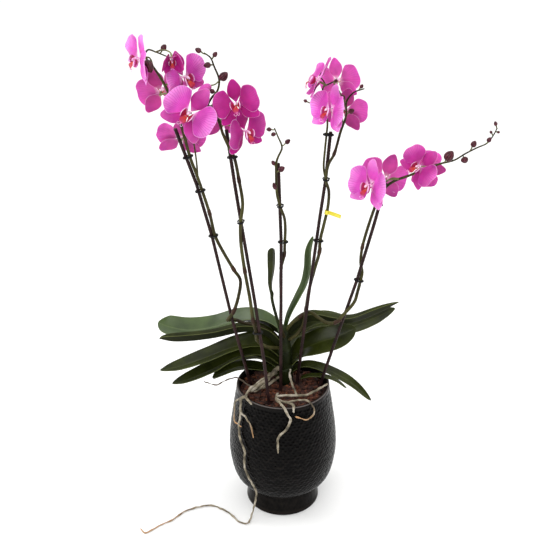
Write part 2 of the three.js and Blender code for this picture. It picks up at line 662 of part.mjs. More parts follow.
// A ring round a stake and the stem beside it, from the stake's own direction there.
function clipSolid(stakeName, height, twig) {
  const path = stakes[stakeName];
  const centre = atHeight(path, height);
  const along = atHeight(path, height + 1).sub(atHeight(path, height - 1)).normalize();
  const { stem: main, twigs } = spikes[stakeName.replace("stake", "spike")];
  const stem = atHeight(twigs[twig] ?? main, height);
  const reach = stem.clone().sub(centre);
  const toward = reach.addScaledVector(along, -reach.dot(along));
  const spread = toward.length();
  toward.normalize();
  const inner = clip.stem + clearance;
  const outside = extruded(ovalRing(inner + clip.thickness, spread), clip.height);
  const body = outside.subtract(extruded(ovalRing(inner, spread), 2 * clip.height));
  const across = along.clone().cross(toward);
  const place = new THREE.Matrix4().makeBasis(toward, across, along).setPosition(centre);
  return body.transform(place.toArray());
}

// An oval round the origin and a second point `spread` along x.
function ovalRing(radius, spread) {
  const shape = new THREE.Shape();
  for (const [middle, start] of [[0, 0.5], [spread, 1.5]]) {
    for (let i = 0; i <= clip.corners; i++) {
      const angle = (start + i / clip.corners) * Math.PI;
      const [x, y] = [middle + radius * Math.cos(angle), radius * Math.sin(angle)];
      i || middle ? shape.lineTo(x, y) : shape.moveTo(x, y);
    }
  }
  return shape;
}

function extruded(shape, depth) {
  const geometry = new THREE.ExtrudeGeometry(shape, { depth, bevelEnabled: false });
  return solid(geometry.translate(0, 0, -depth / 2));
}

for (const [name, [stakeName, height, twig]] of Object.entries(clips)) {
  addNode(name, geometryOf(clipSolid(stakeName, height, twig)), "clip");
}

// Crown and leaves

addNode("crown", geometryOf(limb(crown.path, crown.sides, 1)), "stem");

// How wide a leaf is along its length: narrow at the root, full from `widest` on, tapering to the tip.
function leafOutline(t, widest) {
  const opening = mix(leaf.root, 1, THREE.MathUtils.smoothstep(t, 0, widest));
  return opening * mix(1, leaf.tip, t ** leaf.taper);
}

function leafSolid(form) {
  const { path, halfWidth, fold, roll, far, wave, stalk } = form;
  const widest = form.widest ?? leaf.widest;
  const curve = curveOf(path);
  const place = (u, v) => {
    const t = THREE.MathUtils.clamp(v, 0, 1);
    const centre = curve.getPoint(t);
    const along = curve.getTangent(t);
    const across = vector(far).addScaledVector(along, -vector(far).dot(along)).normalize();
    const face = along.clone().cross(across);
    if (face.z < 0) face.negate();
    const turn = mix(roll[0], roll[1], t) * degree;
    const rise = mix(fold[0], fold[1], t) * degree;
    const side = across.clone().multiplyScalar(Math.cos(turn)).addScaledVector(face, Math.sin(turn));
    const top = face.clone().multiplyScalar(Math.cos(turn)).addScaledVector(across, -Math.sin(turn));
    const width = halfWidth * leafOutline(t, widest);
    const ripple = wave * u * u * Math.sin(3 * Math.PI * t);
    centre.addScaledVector(along, (v - t) * 100);
    centre.addScaledVector(side, u * width * Math.cos(rise));
    return centre.addScaledVector(top, Math.abs(u) * width * Math.sin(rise) + ripple);
  };
  const sheet = blade(place, form.across ?? leaf.across, leaf.along, leaf.thickness);
  return stalk ? sheet.add(limb(stalk, spike.sides, 1)) : sheet;
}

const crownRoom = limb(crown.path, crown.sides, 1, clearance);

for (const [name, form] of Object.entries(leaves)) {
  addNode(name, geometryOf(leafSolid(form).subtract(crownRoom)), "leaf");
}

// Blooms

// The directions of a bloom: z out of its face, y to its top sepal, x to the viewer's right.
function bloomAxes({ turn, tilt = 0, roll = 0 }) {
  const [t, e, r] = [turn * degree, tilt * degree, roll * degree];
  const z = new THREE.Vector3(Math.sin(t) * Math.cos(e), -Math.cos(t) * Math.cos(e), Math.sin(e));
  const upright = up.clone().addScaledVector(z, -up.dot(z)).normalize();
  const right = upright.clone().cross(z);
  const y = upright.clone().multiplyScalar(Math.cos(r)).addScaledVector(right, Math.sin(r));
  return { x: y.clone().cross(z), y, z };
}

const outlines = {
  petal: (v) => (Math.max(v, 0) ** 0.35 * (1 - 0.55 * v ** 3)) / 0.78,
  sepal: (v) => Math.sin(Math.PI * (0.12 + 0.8 * v)),
};

// The middle surface of a petal or sepal that points `angle` clockwise from the top.
function tepalSurface(kind, angle, tilt, phase) {
  const form = bloom[kind];
  const out = new THREE.Vector3(Math.sin(angle), Math.cos(angle), 0);
  const side = new THREE.Vector3(Math.cos(angle), -Math.sin(angle), 0);
  return (u, v) => {
    const wide = outlines[kind](v);
    const reach = (form.reach - bloom.inset) * v * (1 - form.tipRound * u * u * v);
    const ripple = bloom.ripple.height * u * u * wide * Math.sin(bloom.ripple.waves * v + phase + u);
    const rise = reach * Math.sin(tilt) + form.bend * form.reach * v * v + form.cup * u * u * wide;
    const point = out.clone().multiplyScalar(bloom.inset + reach * Math.cos(tilt));
    return point.addScaledVector(side, u * form.halfWidth * wide).setZ(form.lift + rise + ripple);
  };
}

// The rows of a tepal from its claw to its tip, each a list of front and rear points from left to right.
function tepalRows([angle, kind], tilt, phase) {
  const { across, along, lift } = bloom[kind];
  const turn = angle * degree;
  const place = tepalSurface(kind, turn, tilt, phase);
  const claw = [-1, 1].map((u) => {
    const x = bloom.inset * Math.sin(turn) + u * bloom.claw * Math.cos(turn);
    const y = bloom.inset * Math.cos(turn) - u * bloom.claw * Math.sin(turn);
    return [0.5, -0.5].map((face) => new THREE.Vector3(x, y, lift + face * bloom.clawThickness));
  });
  const rows = [claw];
  for (let j = 1; j <= along; j++) rows.push(bladeRow(place, j / along, across, bloom.thickness));
  return rows;
}

// The five tepals of a bloom round its hub, as one closed mesh: the petals in front of the sepals.
function perianthSolid(tilt, draw) {
  const points = [];
  const faces = [];
  const put = (point) => points.push(...point.toArray()) / 3 - 1;
  const quad = (a, b, c, d) => faces.push(a, b, c, a, c, d);
  // The front and the rear point of two neighbours on an edge.
  const wall = ([a, b], [c, d]) => quad(a, c, d, b);
  const both = (a, b, c) => faces.push(a[0], b[0], c[0], a[1], c[1], b[1]);
  const petals = bloom.tepals.map((tepal) => {
    const rows = tepalRows(tepal, tilt, draw() * bloom.ripple.shift);
    return rows.map((row) => row.map((pair) => pair.map(put)));
  });
  for (const rows of petals) {
    const [[left, right], first] = rows;
    const middle = (first.length - 1) / 2;
    both(left, right, first[middle]);
    for (let i = 0; i + 1 < first.length; i++) both(i < middle ? left : right, first[i + 1], first[i]);
    for (let j = 1; j + 1 < rows.length; j++) {
      for (let i = 0; i + 1 < first.length; i++) {
        const [a, b, c, d] = [rows[j][i], rows[j][i + 1], rows[j + 1][i + 1], rows[j + 1][i]];
        both(a, b, c);
        both(a, c, d);
      }
    }
    for (let j = 0; j + 1 < rows.length; j++) {
      wall(rows[j][0], rows[j + 1][0]);
      wall(rows[j + 1].at(-1), rows[j].at(-1));
    }
    const tip = rows.at(-1);
    for (let i = 0; i + 1 < tip.length; i++) wall(tip[i], tip[i + 1]);
  }
  const hub = [bloom.hub.front, -bloom.hub.back].map((z) => put(new THREE.Vector3(0, 0, z)));
  const round = petals.flatMap((rows) => rows[0]);
  round.forEach((here, i) => {
    const next = round[(i + 1) % round.length];
    both(hub, next, here);
    if (i % 2) wall(here, next);
  });
  const geometry = new THREE.BufferGeometry();
  geometry.setAttribute("position", new THREE.Float32BufferAttribute(points, 3));
  geometry.setIndex(faces);
  return solid(geometry);
}

// The lip: a blade of three lobes, the middle one arched down and the side ones raised.
function lipSolid() {
  const { start, length, halfWidth, rise, outline, arch, sideStart, side, sideUp, sideOut } = bloom.lip;
  const place = (u, v) => {
    const lobe = Math.max(0, 2 * Math.abs(u) - 1);
    const middle = new THREE.Vector3(
      2 * u * halfWidth * Math.sin(Math.PI * mix(...outline, v)),
      -start - length * v,
      rise * Math.sin(Math.PI * arch * v),
    );
    const wing = new THREE.Vector3(Math.sign(u) * (sideStart + side * v), sideUp * v - start, sideOut * v);
    return middle.lerp(wing, lobe);
  };
  return blade(place, 4, 2, bloom.thickness);
}

function bloomSolid({ open = 1, size = 1 }, seed) {
  const tilt = (1 - open) * bloom.closing * degree;
  return perianthSolid(tilt, randomFrom(seed)).add(lipSolid()).scale([size, size, size]);
}

Object.entries(blooms).forEach(([name, form], index) => {
  const mesh = addNode(name, geometryOf(bloomSolid(form, index + 1)), "petal");
  const { x, y, z } = bloomAxes(form);
  mesh.position.copy(vector(form.at));
  mesh.quaternion.setFromRotationMatrix(new THREE.Matrix4().makeBasis(x, y, z));
});

// Spikes

// The nearest point on the curves of some paths.
function nearestOn(paths, point) {
  const spots = paths.flatMap((path) => path.slice(1).flatMap((end, i) => {
    return [0, 0.25, 0.5, 0.75, 1].map((t) => vector(path[i]).lerp(vector(end), t));
  }));
  return spots.reduce((best, spot) => (spot.distanceTo(point) < best.distanceTo(point) ? spot : best));
}

// The stalk of a bloom: out of the stem, round to the bloom's back and up to it.
function bloomStalk(form, paths) {
  const { z } = bloomAxes(form);
  const behind = (distance) => vector(form.at).addScaledVector(z, -distance);
  const [start, run] = [nearestOn(paths, vector(form.from)), behind(bloom.stalkRun + bloom.hub.back)];
  const middle = start.clone().lerp(run, 0.5).addScaledVector(up, 4);
  const end = behind(bloom.hub.back * (form.size ?? 1) + clearance);
  const path = [start, middle, run, end].map((p) => [...p.toArray(), spike.stalk]);
  return limb(path, spike.twigSides, 1);
}

// A bud and its stalk as one limb that swells at the bud.
function budSolid({ at, from, size: [radius, length] }, paths) {
  const start = nearestOn(paths, vector(from));
  const along = vector(at).sub(start).normalize();
  const on = (distance, wide) => [...vector(at).addScaledVector(along, distance * length).toArray(), wide];
  const neck = on(-1, spike.stalk);
  const path = [[...start.toArray(), spike.stalk], neck, on(-0.1, radius), on(0.9, 0.4 * radius)];
  return limb(path, spike.budSides, 1);
}

// The stem with a swelling, the sheath of a node, at each of its rings.
function withSheaths(stem, rings) {
  return stem.flatMap((point, i) => {
    if (!rings.includes(i)) return [point];
    const along = vector(stem[i + 1]).sub(vector(stem[i - 1])).normalize();
    const at = (distance, extra) => {
      return [...vector(point).addScaledVector(along, distance).toArray(), point[3] + extra];
    };
    return [at(-spike.sheath, 0), at(0, spike.swell), at(spike.sheath, 0)];
  });
}

function spikeSolid(name, { stem, rings, twigs, buds }) {
  const paths = [stem, ...twigs];
  const parts = [limb(withSheaths(stem, rings), spike.sides, 1)];
  for (const path of twigs) parts.push(limb(path, spike.twigSides, 1));
  for (const bud of buds) parts.push(budSolid(bud, paths));
  const bloomNames = Object.keys(blooms).filter((bloomName) => bloomName.at(-2) === name.at(-1));
  for (const bloomName of bloomNames) parts.push(bloomStalk(blooms[bloomName], paths));
  return fuse(parts);
}

for (const [name, form] of Object.entries(spikes)) {
  addNode(name, geometryOf(spikeSolid(name, form).subtract(crownRoom)), "stem");
}

// Roots

function rootSolid(paths, grow = 0) {
  return fuse(paths.map((path) => limb(path, root.sides, root.steps, grow)));
}

for (const [name, paths] of Object.entries(roots)) {
  addNode(name, geometryOf(rootSolid(paths).subtract(crownRoom)), "root");
}

// Bark

// A chip of bark: a box whose corners are drawn in or out a little.
function chipSolid(draw, { length, width, height, smallest, vary, lean }) {
  const box = merged(new THREE.BoxGeometry(length, width, height));
  const corners = box.attributes.position;
  for (let i = 0; i < corners.count; i++) {
    const shrink = () => smallest + vary * draw();
    corners.setXYZ(i, corners.getX(i) * shrink(), corners.getY(i) * shrink(), corners.getZ(i) * shrink());
  }
  box.rotateX(lean * (2 * draw() - 1));
  box.rotateY(lean * (2 * draw() - 1));
  box.rotateZ(2 * Math.PI * draw());
  return solid(box);
}

// The fill of the pot up to the bark's top, with loose chips sunk into it.
function barkSolid() {
  const wall = insidePoints(bark.gap);
  const [edge, shoulder] = [wall.pop(), wall.at(-1)];
  const rise = (bark.top - shoulder[1]) / (edge[1] - shoulder[1]);
  const fill = lathe([...wall, [mix(shoulder[0], edge[0], rise), bark.top], [0, bark.top]], pot.sides);
  const draw = randomFrom(bark.seed);
  const ball = ([x, y, z, radius]) => solid(new THREE.IcosahedronGeometry(radius, 0).translate(x, y, z));
  const parts = [fill, ...bark.lump.map(ball)];
  for (let i = 0; i < bark.chips; i++) {
    const angle = i * bark.turn * degree;
    const away = bark.spread * Math.sqrt((i + 0.5) / bark.chips);
    const chip = chipSolid(draw, bark.chip);
    const height = bark.top + bark.lift * draw();
    parts.push(chip.translate([away * Math.cos(angle), away * Math.sin(angle), height]));
  }
  return fuse(parts);
}

// What stands or lies in the bark keeps its own hole.
const sunken = [
  crownRoom,
  ...Object.values(stakes).map((path) => stakeSolid(path, clearance)),
  ...Object.values(roots).map((paths) => rootSolid(paths, clearance)),
];
addNode("bark", geometryOf(barkSolid().subtract(fuse(sunken))), "bark");

// Tag

function tagSolid() {
  const inner = tag.loop;
  const ring = (radius, depth) => extruded(circle(radius, tag.loopSides), depth);
  const loop = ring(inner + tag.thickness, tag.width).subtract(ring(inner, 2 * tag.width));
  const tail = new THREE.BoxGeometry(tag.length, tag.thickness * 2, tag.width);
  tail.translate(tag.length / 2 + inner + tag.thickness / 2, 0, 0);
  return loop.add(solid(tail));
}

const tagMesh = addNode("tag", geometryOf(tagSolid()), "tag");
const tagStem = spikes[tag.spike].stem;
const tagAxis = atHeight(tagStem, tag.height + 3).sub(atHeight(tagStem, tag.height - 3)).normalize();
tagMesh.position.copy(atHeight(tagStem, tag.height));
tagMesh.quaternion.setFromUnitVectors(up, tagAxis);

export default orchid;
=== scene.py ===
import bpy
import math
import random
from mathutils import Matrix, Vector, noise


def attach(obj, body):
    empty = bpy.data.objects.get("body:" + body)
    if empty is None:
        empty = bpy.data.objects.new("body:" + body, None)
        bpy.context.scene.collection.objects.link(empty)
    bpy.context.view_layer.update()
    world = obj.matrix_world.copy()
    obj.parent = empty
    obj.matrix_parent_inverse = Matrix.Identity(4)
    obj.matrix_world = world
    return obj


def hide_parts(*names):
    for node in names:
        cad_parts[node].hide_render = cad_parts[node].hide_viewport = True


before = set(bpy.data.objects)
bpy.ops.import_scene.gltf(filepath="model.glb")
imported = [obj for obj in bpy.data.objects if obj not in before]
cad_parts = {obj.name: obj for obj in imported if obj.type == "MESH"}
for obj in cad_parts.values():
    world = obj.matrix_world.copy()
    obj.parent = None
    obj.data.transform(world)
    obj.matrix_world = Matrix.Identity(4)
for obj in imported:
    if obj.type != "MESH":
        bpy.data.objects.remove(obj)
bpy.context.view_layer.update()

# A potted moth orchid: five flower spikes on stakes, in a hammered black pot.
# Metres, +Z up, the front towards -Y. The tables are in millimetres.
mm = 0.001
print("frame loaded,", len(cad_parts), "nodes")


# Materials
# The Scale of a noise is 1000 over the width of its patches in millimetres: 60 gives 17 mm, 900 gives 1.1 mm.

def hexColour(text):
    # sRGB hex to the linear values that a socket holds
    parts = [int(text[i:i + 2], 16) / 255 for i in (1, 3, 5)]
    return [c / 12.92 if c <= 0.04045 else ((c + 0.055) / 1.055) ** 2.4 for c in parts] + [1]


def startMaterial(name, **sockets):
    # a material with fixed values on its shader, a function that adds nodes to it, and its texture coordinates
    material = bpy.data.materials.new(name)
    material.use_nodes = True
    tree = material.node_tree
    shader = tree.nodes["Principled BSDF"]
    for socket, value in sockets.items():
        shader.inputs[socket.replace("_", " ")].default_value = value

    def addNode(kind, feeds={}, stops=None, out=0, into=None, **settings):
        # one node with its settings and what feeds its sockets; stops are a colour ramp's places and hex values.
        # It gives back one output, or all of them for None, and links that one to the shader's socket `into`.
        node = tree.nodes.new("ShaderNode" + kind)
        for key, value in settings.items():
            setattr(node, key, value)
        for socket, value in feeds.items():
            if isinstance(value, bpy.types.NodeSocket):
                tree.links.new(value, node.inputs[socket])
            else:
                node.inputs[socket].default_value = value
        if stops:
            ramp = node.color_ramp
            while len(ramp.elements) < len(stops):
                ramp.elements.new(0.5)
            for element, (position, text) in zip(ramp.elements, stops):
                element.position = position
                element.color = hexColour(text)
        if into:
            tree.links.new(node.outputs[out], shader.inputs[into])
        return node.outputs if out is None else node.outputs[out]

    return material, addNode, addNode("TexCoord", out=None)


def hammeredGlaze():
    # stoneware with a satin black glaze, black in the hammer marks; painted highlight makes the ridges between
    # them lighter and browner, and paints a grey highlight line along the rim's edge
    material, addNode, coords = startMaterial("blackSatinGlaze", IOR=1.5, Specular_IOR_Level=0.055)
    place = coords["Object"]
    cloud = addNode("TexNoise", {"Vector": place, "Scale": 60, "Detail": 4})
    # painted highlight on the ridges, the foot and the rim's edge, from an attribute of the pot's mesh
    highlight = addNode("Attribute", attribute_name="thinGlaze", out="Fac")
    mottleAndHighlight = addNode("Math", {0: cloud, 1: 0.16, 2: highlight}, operation="MULTIPLY_ADD")
    tones = [(0.1, "#040303"), (0.3, "#0D0B0A"), (0.55, "#221D1A"), (1.0, "#605A58")]
    addNode("ValToRGB", {"Fac": mottleAndHighlight}, tones, into="Base Color")
    addNode("MapRange", {"Value": cloud, "To Min": 0.2, "To Max": 0.3}, into="Roughness")
    # pinholes and orange peel of about a millimetre
    peel = addNode("TexNoise", {"Vector": place, "Scale": 900, "Detail": 2})
    addNode("Bump", {"Height": peel, "Strength": 0.25, "Distance": 0.0002}, into="Normal")
    return material


def driedBark():
    # pine bark, torn and dried: matt, red-brown flakes with dark cracks along the grain
    material, addNode, coords = startMaterial("pineBark", Roughness=0.9)
    place = coords["Object"]
    flake = addNode("TexNoise", {"Vector": place, "Scale": 90, "Detail": 5, "Roughness": 0.65})
    chip = addNode("TexVoronoi", {"Vector": place, "Scale": 75}, out="Color")
    tone = addNode("ValToRGB", {"Fac": flake}, [(0.32, "#0A0503"), (0.5, "#44200F"), (0.72, "#8A5230")])
    own = addNode("ValToRGB", {"Fac": chip}, [(0.2, "#5A3A2C"), (0.5, "#B0785A"), (0.8, "#F0C8A4")])
    addNode("Mix", {0: 0.5, 6: tone, 7: own}, data_type="RGBA", blend_type="MULTIPLY", out=2, into="Base Color")
    grain = addNode("TexNoise", {"Vector": place, "Scale": 420, "Detail": 4})
    addNode("Bump", {"Height": grain, "Strength": 0.8, "Distance": 0.0008}, into="Normal")
    return material


def leafSkin(name, look):
    # thick waxy leaf: fine veins run along it, a paler midrib and edge, a soft wax gloss
    material, addNode, coords = startMaterial(name, Coat_Weight=look["wax"], Coat_Roughness=0.22,
                                              Specular_IOR_Level=look["gloss"])
    across = addNode("SeparateXYZ", {"Vector": coords["UV"]})
    middle = addNode("Math", {0: across, 1: 0.5}, operation="SUBTRACT")
    away = addNode("Math", {0: middle}, operation="ABSOLUTE")
    cloud = addNode("TexNoise", {"Vector": coords["Object"], "Scale": 28, "Detail": 4})
    tone = addNode("ValToRGB", {"Fac": cloud}, [(0.28, look["dark"]), (0.72, look["light"])])
    # about forty veins across a leaf, a millimetre apart
    wobble = addNode("Math", {0: across, 1: 40, 2: cloud}, operation="MULTIPLY_ADD")
    wave = addNode("Math", {0: wobble, 1: 0.5}, operation="PINGPONG")
    vein = addNode("MapRange", {"Value": wave, "From Max": 0.22, "To Min": 1, "To Max": 0})
    veined = addNode("Math", {0: vein, 1: look["veins"]}, operation="MULTIPLY")
    lined = addNode("Mix", {0: veined, 6: tone, 7: hexColour(look["vein"])}, data_type="RGBA", out=2)
    rib = addNode("MapRange", {"Value": away, "From Max": 0.035, "To Min": look["rib"], "To Max": 0})
    ribbed = addNode("Mix", {0: rib, 6: lined, 7: hexColour(look["edge"])}, data_type="RGBA", out=2)
    margin = addNode("MapRange", {"Value": away, "From Min": 0.47, "From Max": 0.5})
    addNode("Mix", {0: margin, 6: ribbed, 7: hexColour(look["edge"])}, data_type="RGBA", out=2,
            into="Base Color")
    addNode("MapRange", {"Value": cloud, "To Min": look["rough"], "To Max": look["rough"] + 0.15},
            into="Roughness")
    addNode("Bump", {"Height": wave, "Strength": look["bump"], "Distance": 0.0003}, into="Normal")
    return material


def stemSkin(name, look):
    # green flower stem: faint fibres along it and darker patches where the sun reddened it
    material, addNode, coords = startMaterial(name, Roughness=0.5, Specular_IOR_Level=0.14)
    place = coords["Object"]
    stretched = addNode("Mapping", {"Vector": place, "Scale": (1, 1, 0.08)})
    fibre = addNode("TexNoise", {"Vector": stretched, "Scale": 900, "Detail": 2})
    patch = addNode("TexNoise", {"Vector": place, "Scale": 22, "Detail": 3})
    tone = addNode("ValToRGB", {"Fac": patch}, [(0.35, look["dark"]), (0.65, look["light"])])
    line = addNode("ValToRGB", {"Fac": fibre}, [(0.35, "#8A8A80"), (0.6, "#FFFFFF")])
    addNode("Mix", {0: 0.6, 6: tone, 7: line}, data_type="RGBA", blend_type="MULTIPLY", out=2,
            into="Base Color")
    addNode("Bump", {"Height": fibre, "Strength": 0.3, "Distance": 0.0002}, into="Normal")
    return material


def petalTissue(name, look):
    # petal tissue: matt velvet, veins that fan out from the claw, paler at the claw and along the rim
    material, addNode, coords = startMaterial(name, Roughness=0.55, Sheen_Weight=0.05, Sheen_Roughness=0.4,
                                              Specular_IOR_Level=0.14, Subsurface_Weight=0.12,
                                              Subsurface_Scale=0.002)
    uv = coords["UV"]
    sides = addNode("SeparateXYZ", {"Vector": uv}, out=None)
    cloud = addNode("TexNoise", {"Vector": coords["Object"], "Scale": 120, "Detail": 3})
    # the claw's pale patch reaches further out in some places than in others
    reach = addNode("Math", {0: cloud, 1: look["fray"], 2: sides["Y"]}, operation="MULTIPLY_ADD")
    start = addNode("Math", {0: reach, 1: look["fray"] / 2}, operation="SUBTRACT")
    tone = addNode("ValToRGB", {"Fac": start}, look["tones"])
    dusk = addNode("Attribute", attribute_name="dusk", out="Fac")
    aged = addNode("Mix", {0: dusk, 6: tone, 7: hexColour(look["dusk"])}, data_type="RGBA",
                   blend_type="MULTIPLY", out=2)
    # light and dark patches a finger wide, at random: tissue thinner or thicker, and painted sheen
    patch = addNode("TexNoise", {"Vector": coords["Object"], "Scale": 45, "Detail": 2})
    tissueAndSheen = addNode("MapRange",
                     {"Value": patch, "From Min": 0.3, "From Max": 0.7, "To Min": 0.8, "To Max": 1.2})
    mottled = addNode("VectorMath", {0: aged, "Scale": tissueAndSheen}, operation="SCALE")
    wobble = addNode("TexNoise", {"Vector": uv, "Scale": 5, "Detail": 2})
    aside = addNode("Math", {0: sides["X"], 1: 0.5}, operation="SUBTRACT")
    ahead = addNode("Math", {0: sides["Y"], 1: 0.3}, operation="ADD")
    bearing = addNode("Math", {0: aside, 1: ahead}, operation="ARCTAN2")
    fan = addNode("Math", {0: bearing, 1: look["veins"], 2: wobble}, operation="MULTIPLY_ADD")
    wave = addNode("Math", {0: fan, 1: 0.5}, operation="PINGPONG")
    vein = addNode("MapRange", {"Value": wave, "From Max": 0.17, "To Min": look["depth"], "To Max": 0},
                   interpolation_type="SMOOTHSTEP")
    lined = addNode("Mix", {0: vein, 6: mottled, 7: hexColour(look["vein"])}, data_type="RGBA", out=2)
    edge = addNode("VectorMath", {0: uv, 1: (0.5, 0.5, 0)}, operation="DISTANCE", out="Value")
    rim = addNode("MapRange", {"Value": edge, "From Min": 0.465, "From Max": 0.5, "To Max": look["rimDepth"]},
                  interpolation_type="SMOOTHSTEP")
    addNode("Mix", {0: rim, 6: lined, 7: hexColour(look["rim"])}, data_type="RGBA", out=2, into="Base Color")
    addNode("Bump", {"Height": wave, "Strength": look["bump"], "Distance": 0.0004}, into="Normal")
    return material


def lipTissue(name, look):
    # the lip: thick glossy tissue, yellow to orange at the throat, deep crimson or pink outside, striped inside
    material, addNode, coords = startMaterial(name, Roughness=0.4, Specular_IOR_Level=0.3)
    sides = addNode("SeparateXYZ", {"Vector": coords["UV"]}, out=None)
    place = coords["Object"]
    cloud = addNode("TexNoise", {"Vector": place, "Scale": 300, "Detail": 2})
    blotch = addNode("Math", {0: cloud, 1: 0.3, 2: sides["Y"]}, operation="MULTIPLY_ADD")
    tone = addNode("ValToRGB", {"Fac": blotch}, look["tones"])
    stripe = addNode("Math", {0: sides["X"], 1: look["stripes"], 2: cloud}, operation="MULTIPLY_ADD")
    wave = addNode("Math", {0: stripe, 1: 0.5}, operation="PINGPONG")
    line = addNode("MapRange", {"Value": wave, "From Max": 0.25, "To Min": look["depth"], "To Max": 0})
    fade = addNode("MapRange", {"Value": blotch, "From Min": 0.75, "From Max": 1.05, "To Min": 1, "To Max": 0})
    faded = addNode("Math", {0: line, 1: fade}, operation="MULTIPLY")
    addNode("Mix", {0: faded, 6: tone, 7: hexColour(look["stripe"])}, data_type="RGBA", out=2,
            into="Base Color")
    return material


def columnWax():
    # the column: smooth, almost white with a pink flush, like wax
    material, addNode, coords = startMaterial("columnWax", Roughness=0.35, Subsurface_Weight=0.15,
                                              Subsurface_Scale=0.002, Coat_Weight=0.2)
    place = coords["Object"]
    cloud = addNode("TexNoise", {"Vector": place, "Scale": 260, "Detail": 2})
    addNode("ValToRGB", {"Fac": cloud}, [(0.35, "#DC86C0"), (0.6, "#F2D2E6")], into="Base Color")
    return material


def budSkin():
    # closed buds: dark plum with soft streaks from base to tip and a dull wax bloom
    material, addNode, coords = startMaterial("plumBud", Roughness=0.38, Specular_IOR_Level=0.24)
    sides = addNode("SeparateXYZ", {"Vector": coords["UV"]}, out=None)
    cloud = addNode("TexNoise", {"Vector": coords["Object"], "Scale": 180, "Detail": 3})
    streak = addNode("Math", {0: sides["X"], 1: 12, 2: cloud}, operation="MULTIPLY_ADD")
    wave = addNode("Math", {0: streak, 1: 0.5}, operation="PINGPONG")
    both = addNode("Math", {0: wave, 1: cloud}, operation="ADD")
    addNode("ValToRGB", {"Fac": both}, [(0.35, "#240810"), (0.75, "#40131E"), (1.1, "#64303A")],
            into="Base Color")
    addNode("Bump", {"Height": wave, "Strength": 0.2, "Distance": 0.0003}, into="Normal")
    return material


def rootSkin(name, look):
    # air root: a dry spongy skin, chalky and slightly wrinkled, with brown scars; its thin young ends are tan
    material, addNode, coords = startMaterial(name, Roughness=0.75)
    place = coords["Object"]
    cloud = addNode("TexNoise", {"Vector": place, "Scale": 60, "Detail": 4})
    tone = addNode("ValToRGB", {"Fac": cloud}, look["tones"])
    thin = addNode("Attribute", attribute_name="thin", out="Fac")
    young = addNode("Mix", {0: thin, 6: tone, 7: hexColour("#B98B5C")}, data_type="RGBA", out=2)
    dry = addNode("Attribute", attribute_name="dry", out="Fac")
    dried = addNode("Mix", {0: dry, 6: young, 7: hexColour("#3E3327")}, data_type="RGBA", out=2)
    scar = addNode("TexNoise", {"Vector": place, "Scale": 210, "Detail": 2})
    spot = addNode("MapRange", {"Value": scar, "From Min": 0.62, "From Max": 0.72, "To Max": 0.7})
    addNode("Mix", {0: spot, 6: dried, 7: hexColour(look["scar"])}, data_type="RGBA", out=2, into="Base Color")
    wrinkle = addNode("TexNoise", {"Vector": place, "Scale": 700, "Detail": 3})
    addNode("Bump", {"Height": wrinkle, "Strength": 0.6, "Distance": 0.0003}, into="Normal")
    return material


def plasticSkin(name, look):
    # moulded or extruded plastic: an even satin gloss, slightly worn and dusty
    material, addNode, coords = startMaterial(name, Specular_IOR_Level=0.14)
    place = coords["Object"]
    cloud = addNode("TexNoise", {"Vector": place, "Scale": look["scale"], "Detail": 3})
    addNode("ValToRGB", {"Fac": cloud}, [(0.35, look["dark"]), (0.68, look["light"])], into="Base Color")
    addNode("MapRange", {"Value": cloud, "To Min": look["rough"] - 0.06, "To Max": look["rough"] + 0.1},
            into="Roughness")
    fine = addNode("TexNoise", {"Vector": place, "Scale": 1200, "Detail": 2})
    addNode("Bump", {"Height": fine, "Strength": 0.15, "Distance": 0.0001}, into="Normal")
    return material


leafLooks = {
    "glossyLeafTop": {
        "dark": "#191E06", "light": "#363D10", "vein": "#141806", "veins": 0.3, "edge": "#565C30", "rib": 0.3,
        "wax": 0.12, "gloss": 0.1, "rough": 0.3, "bump": 0.25,
    },
    # a lit copy of the leaf top: its lighter greens are painted light, for leaves that catch the sheen
    "oldLeafTop": {
        "dark": "#2A3A18", "light": "#475A2C", "vein": "#22300F", "veins": 0.35, "edge": "#6A7848", "rib": 0.35,
        "wax": 0.3, "gloss": 0.22, "rough": 0.24, "bump": 0.25,
    },
    "leafUnderside": {
        "dark": "#12150A", "light": "#22260E", "vein": "#2E3416", "veins": 0.35, "edge": "#464A26", "rib": 0.4,
        "wax": 0.0, "gloss": 0.08, "rough": 0.5, "bump": 0.4,
    },
}
stemLooks = {
    "flowerStem": {"dark": "#2A2012", "light": "#4C4A26"},
    "paleStalk": {"dark": "#5C5C38", "light": "#878C5A"},
    "stemSheath": {"dark": "#2C1A12", "light": "#4A3426"},
    "crownSheath": {"dark": "#141A09", "light": "#2A3213"},
}
# tones run from the claw to the tip
petalLooks = {
    "petalFront": {
        "tones": [(0.0, "#F8DEF0"), (0.08, "#EFB4E0"), (0.2, "#CE48B0"), (0.5, "#CC4CB4"), (1.0, "#EE92E0")],
        "fray": 0.2, "dusk": "#C03A98", "veins": 15, "vein": "#9A1C80", "depth": 0.5, "rim": "#F4BEEC",
        "rimDepth": 0.5, "bump": 0.5,
    },
    "petalBack": {
        "tones": [(0.0, "#F2EEDD"), (0.07, "#EDB8D6"), (0.2, "#D65CB0"), (1.0, "#D450B6")],
        "fray": 0.14, "dusk": "#B04A84", "veins": 12, "vein": "#9C2C74", "depth": 0.3, "rim": "#EDAEE2",
        "rimDepth": 0.45, "bump": 0.15,
    },
}
lipLooks = {
    "crimsonLip": {
        "tones": [(0.1, "#F4E08A"), (0.26, "#E88E2C"), (0.48, "#C4302A"), (0.84, "#B01850"), (1.1, "#D86CAE")],
        "stripes": 6, "depth": 0.75, "stripe": "#8A0A20",
    },
    "stripedLobe": {
        "tones": [(0.1, "#E8A04A"), (0.28, "#B41E38"), (0.72, "#B02460"), (0.96, "#D070B4"), (1.1, "#F2C2E6")],
        "stripes": 7, "depth": 0.6, "stripe": "#6E061A",
    },
}
rootLooks = {
    "silverRoot": {"tones": [(0.32, "#3C362A"), (0.5, "#837964"), (0.72, "#BAB2A4")], "scar": "#4A3424"},
}
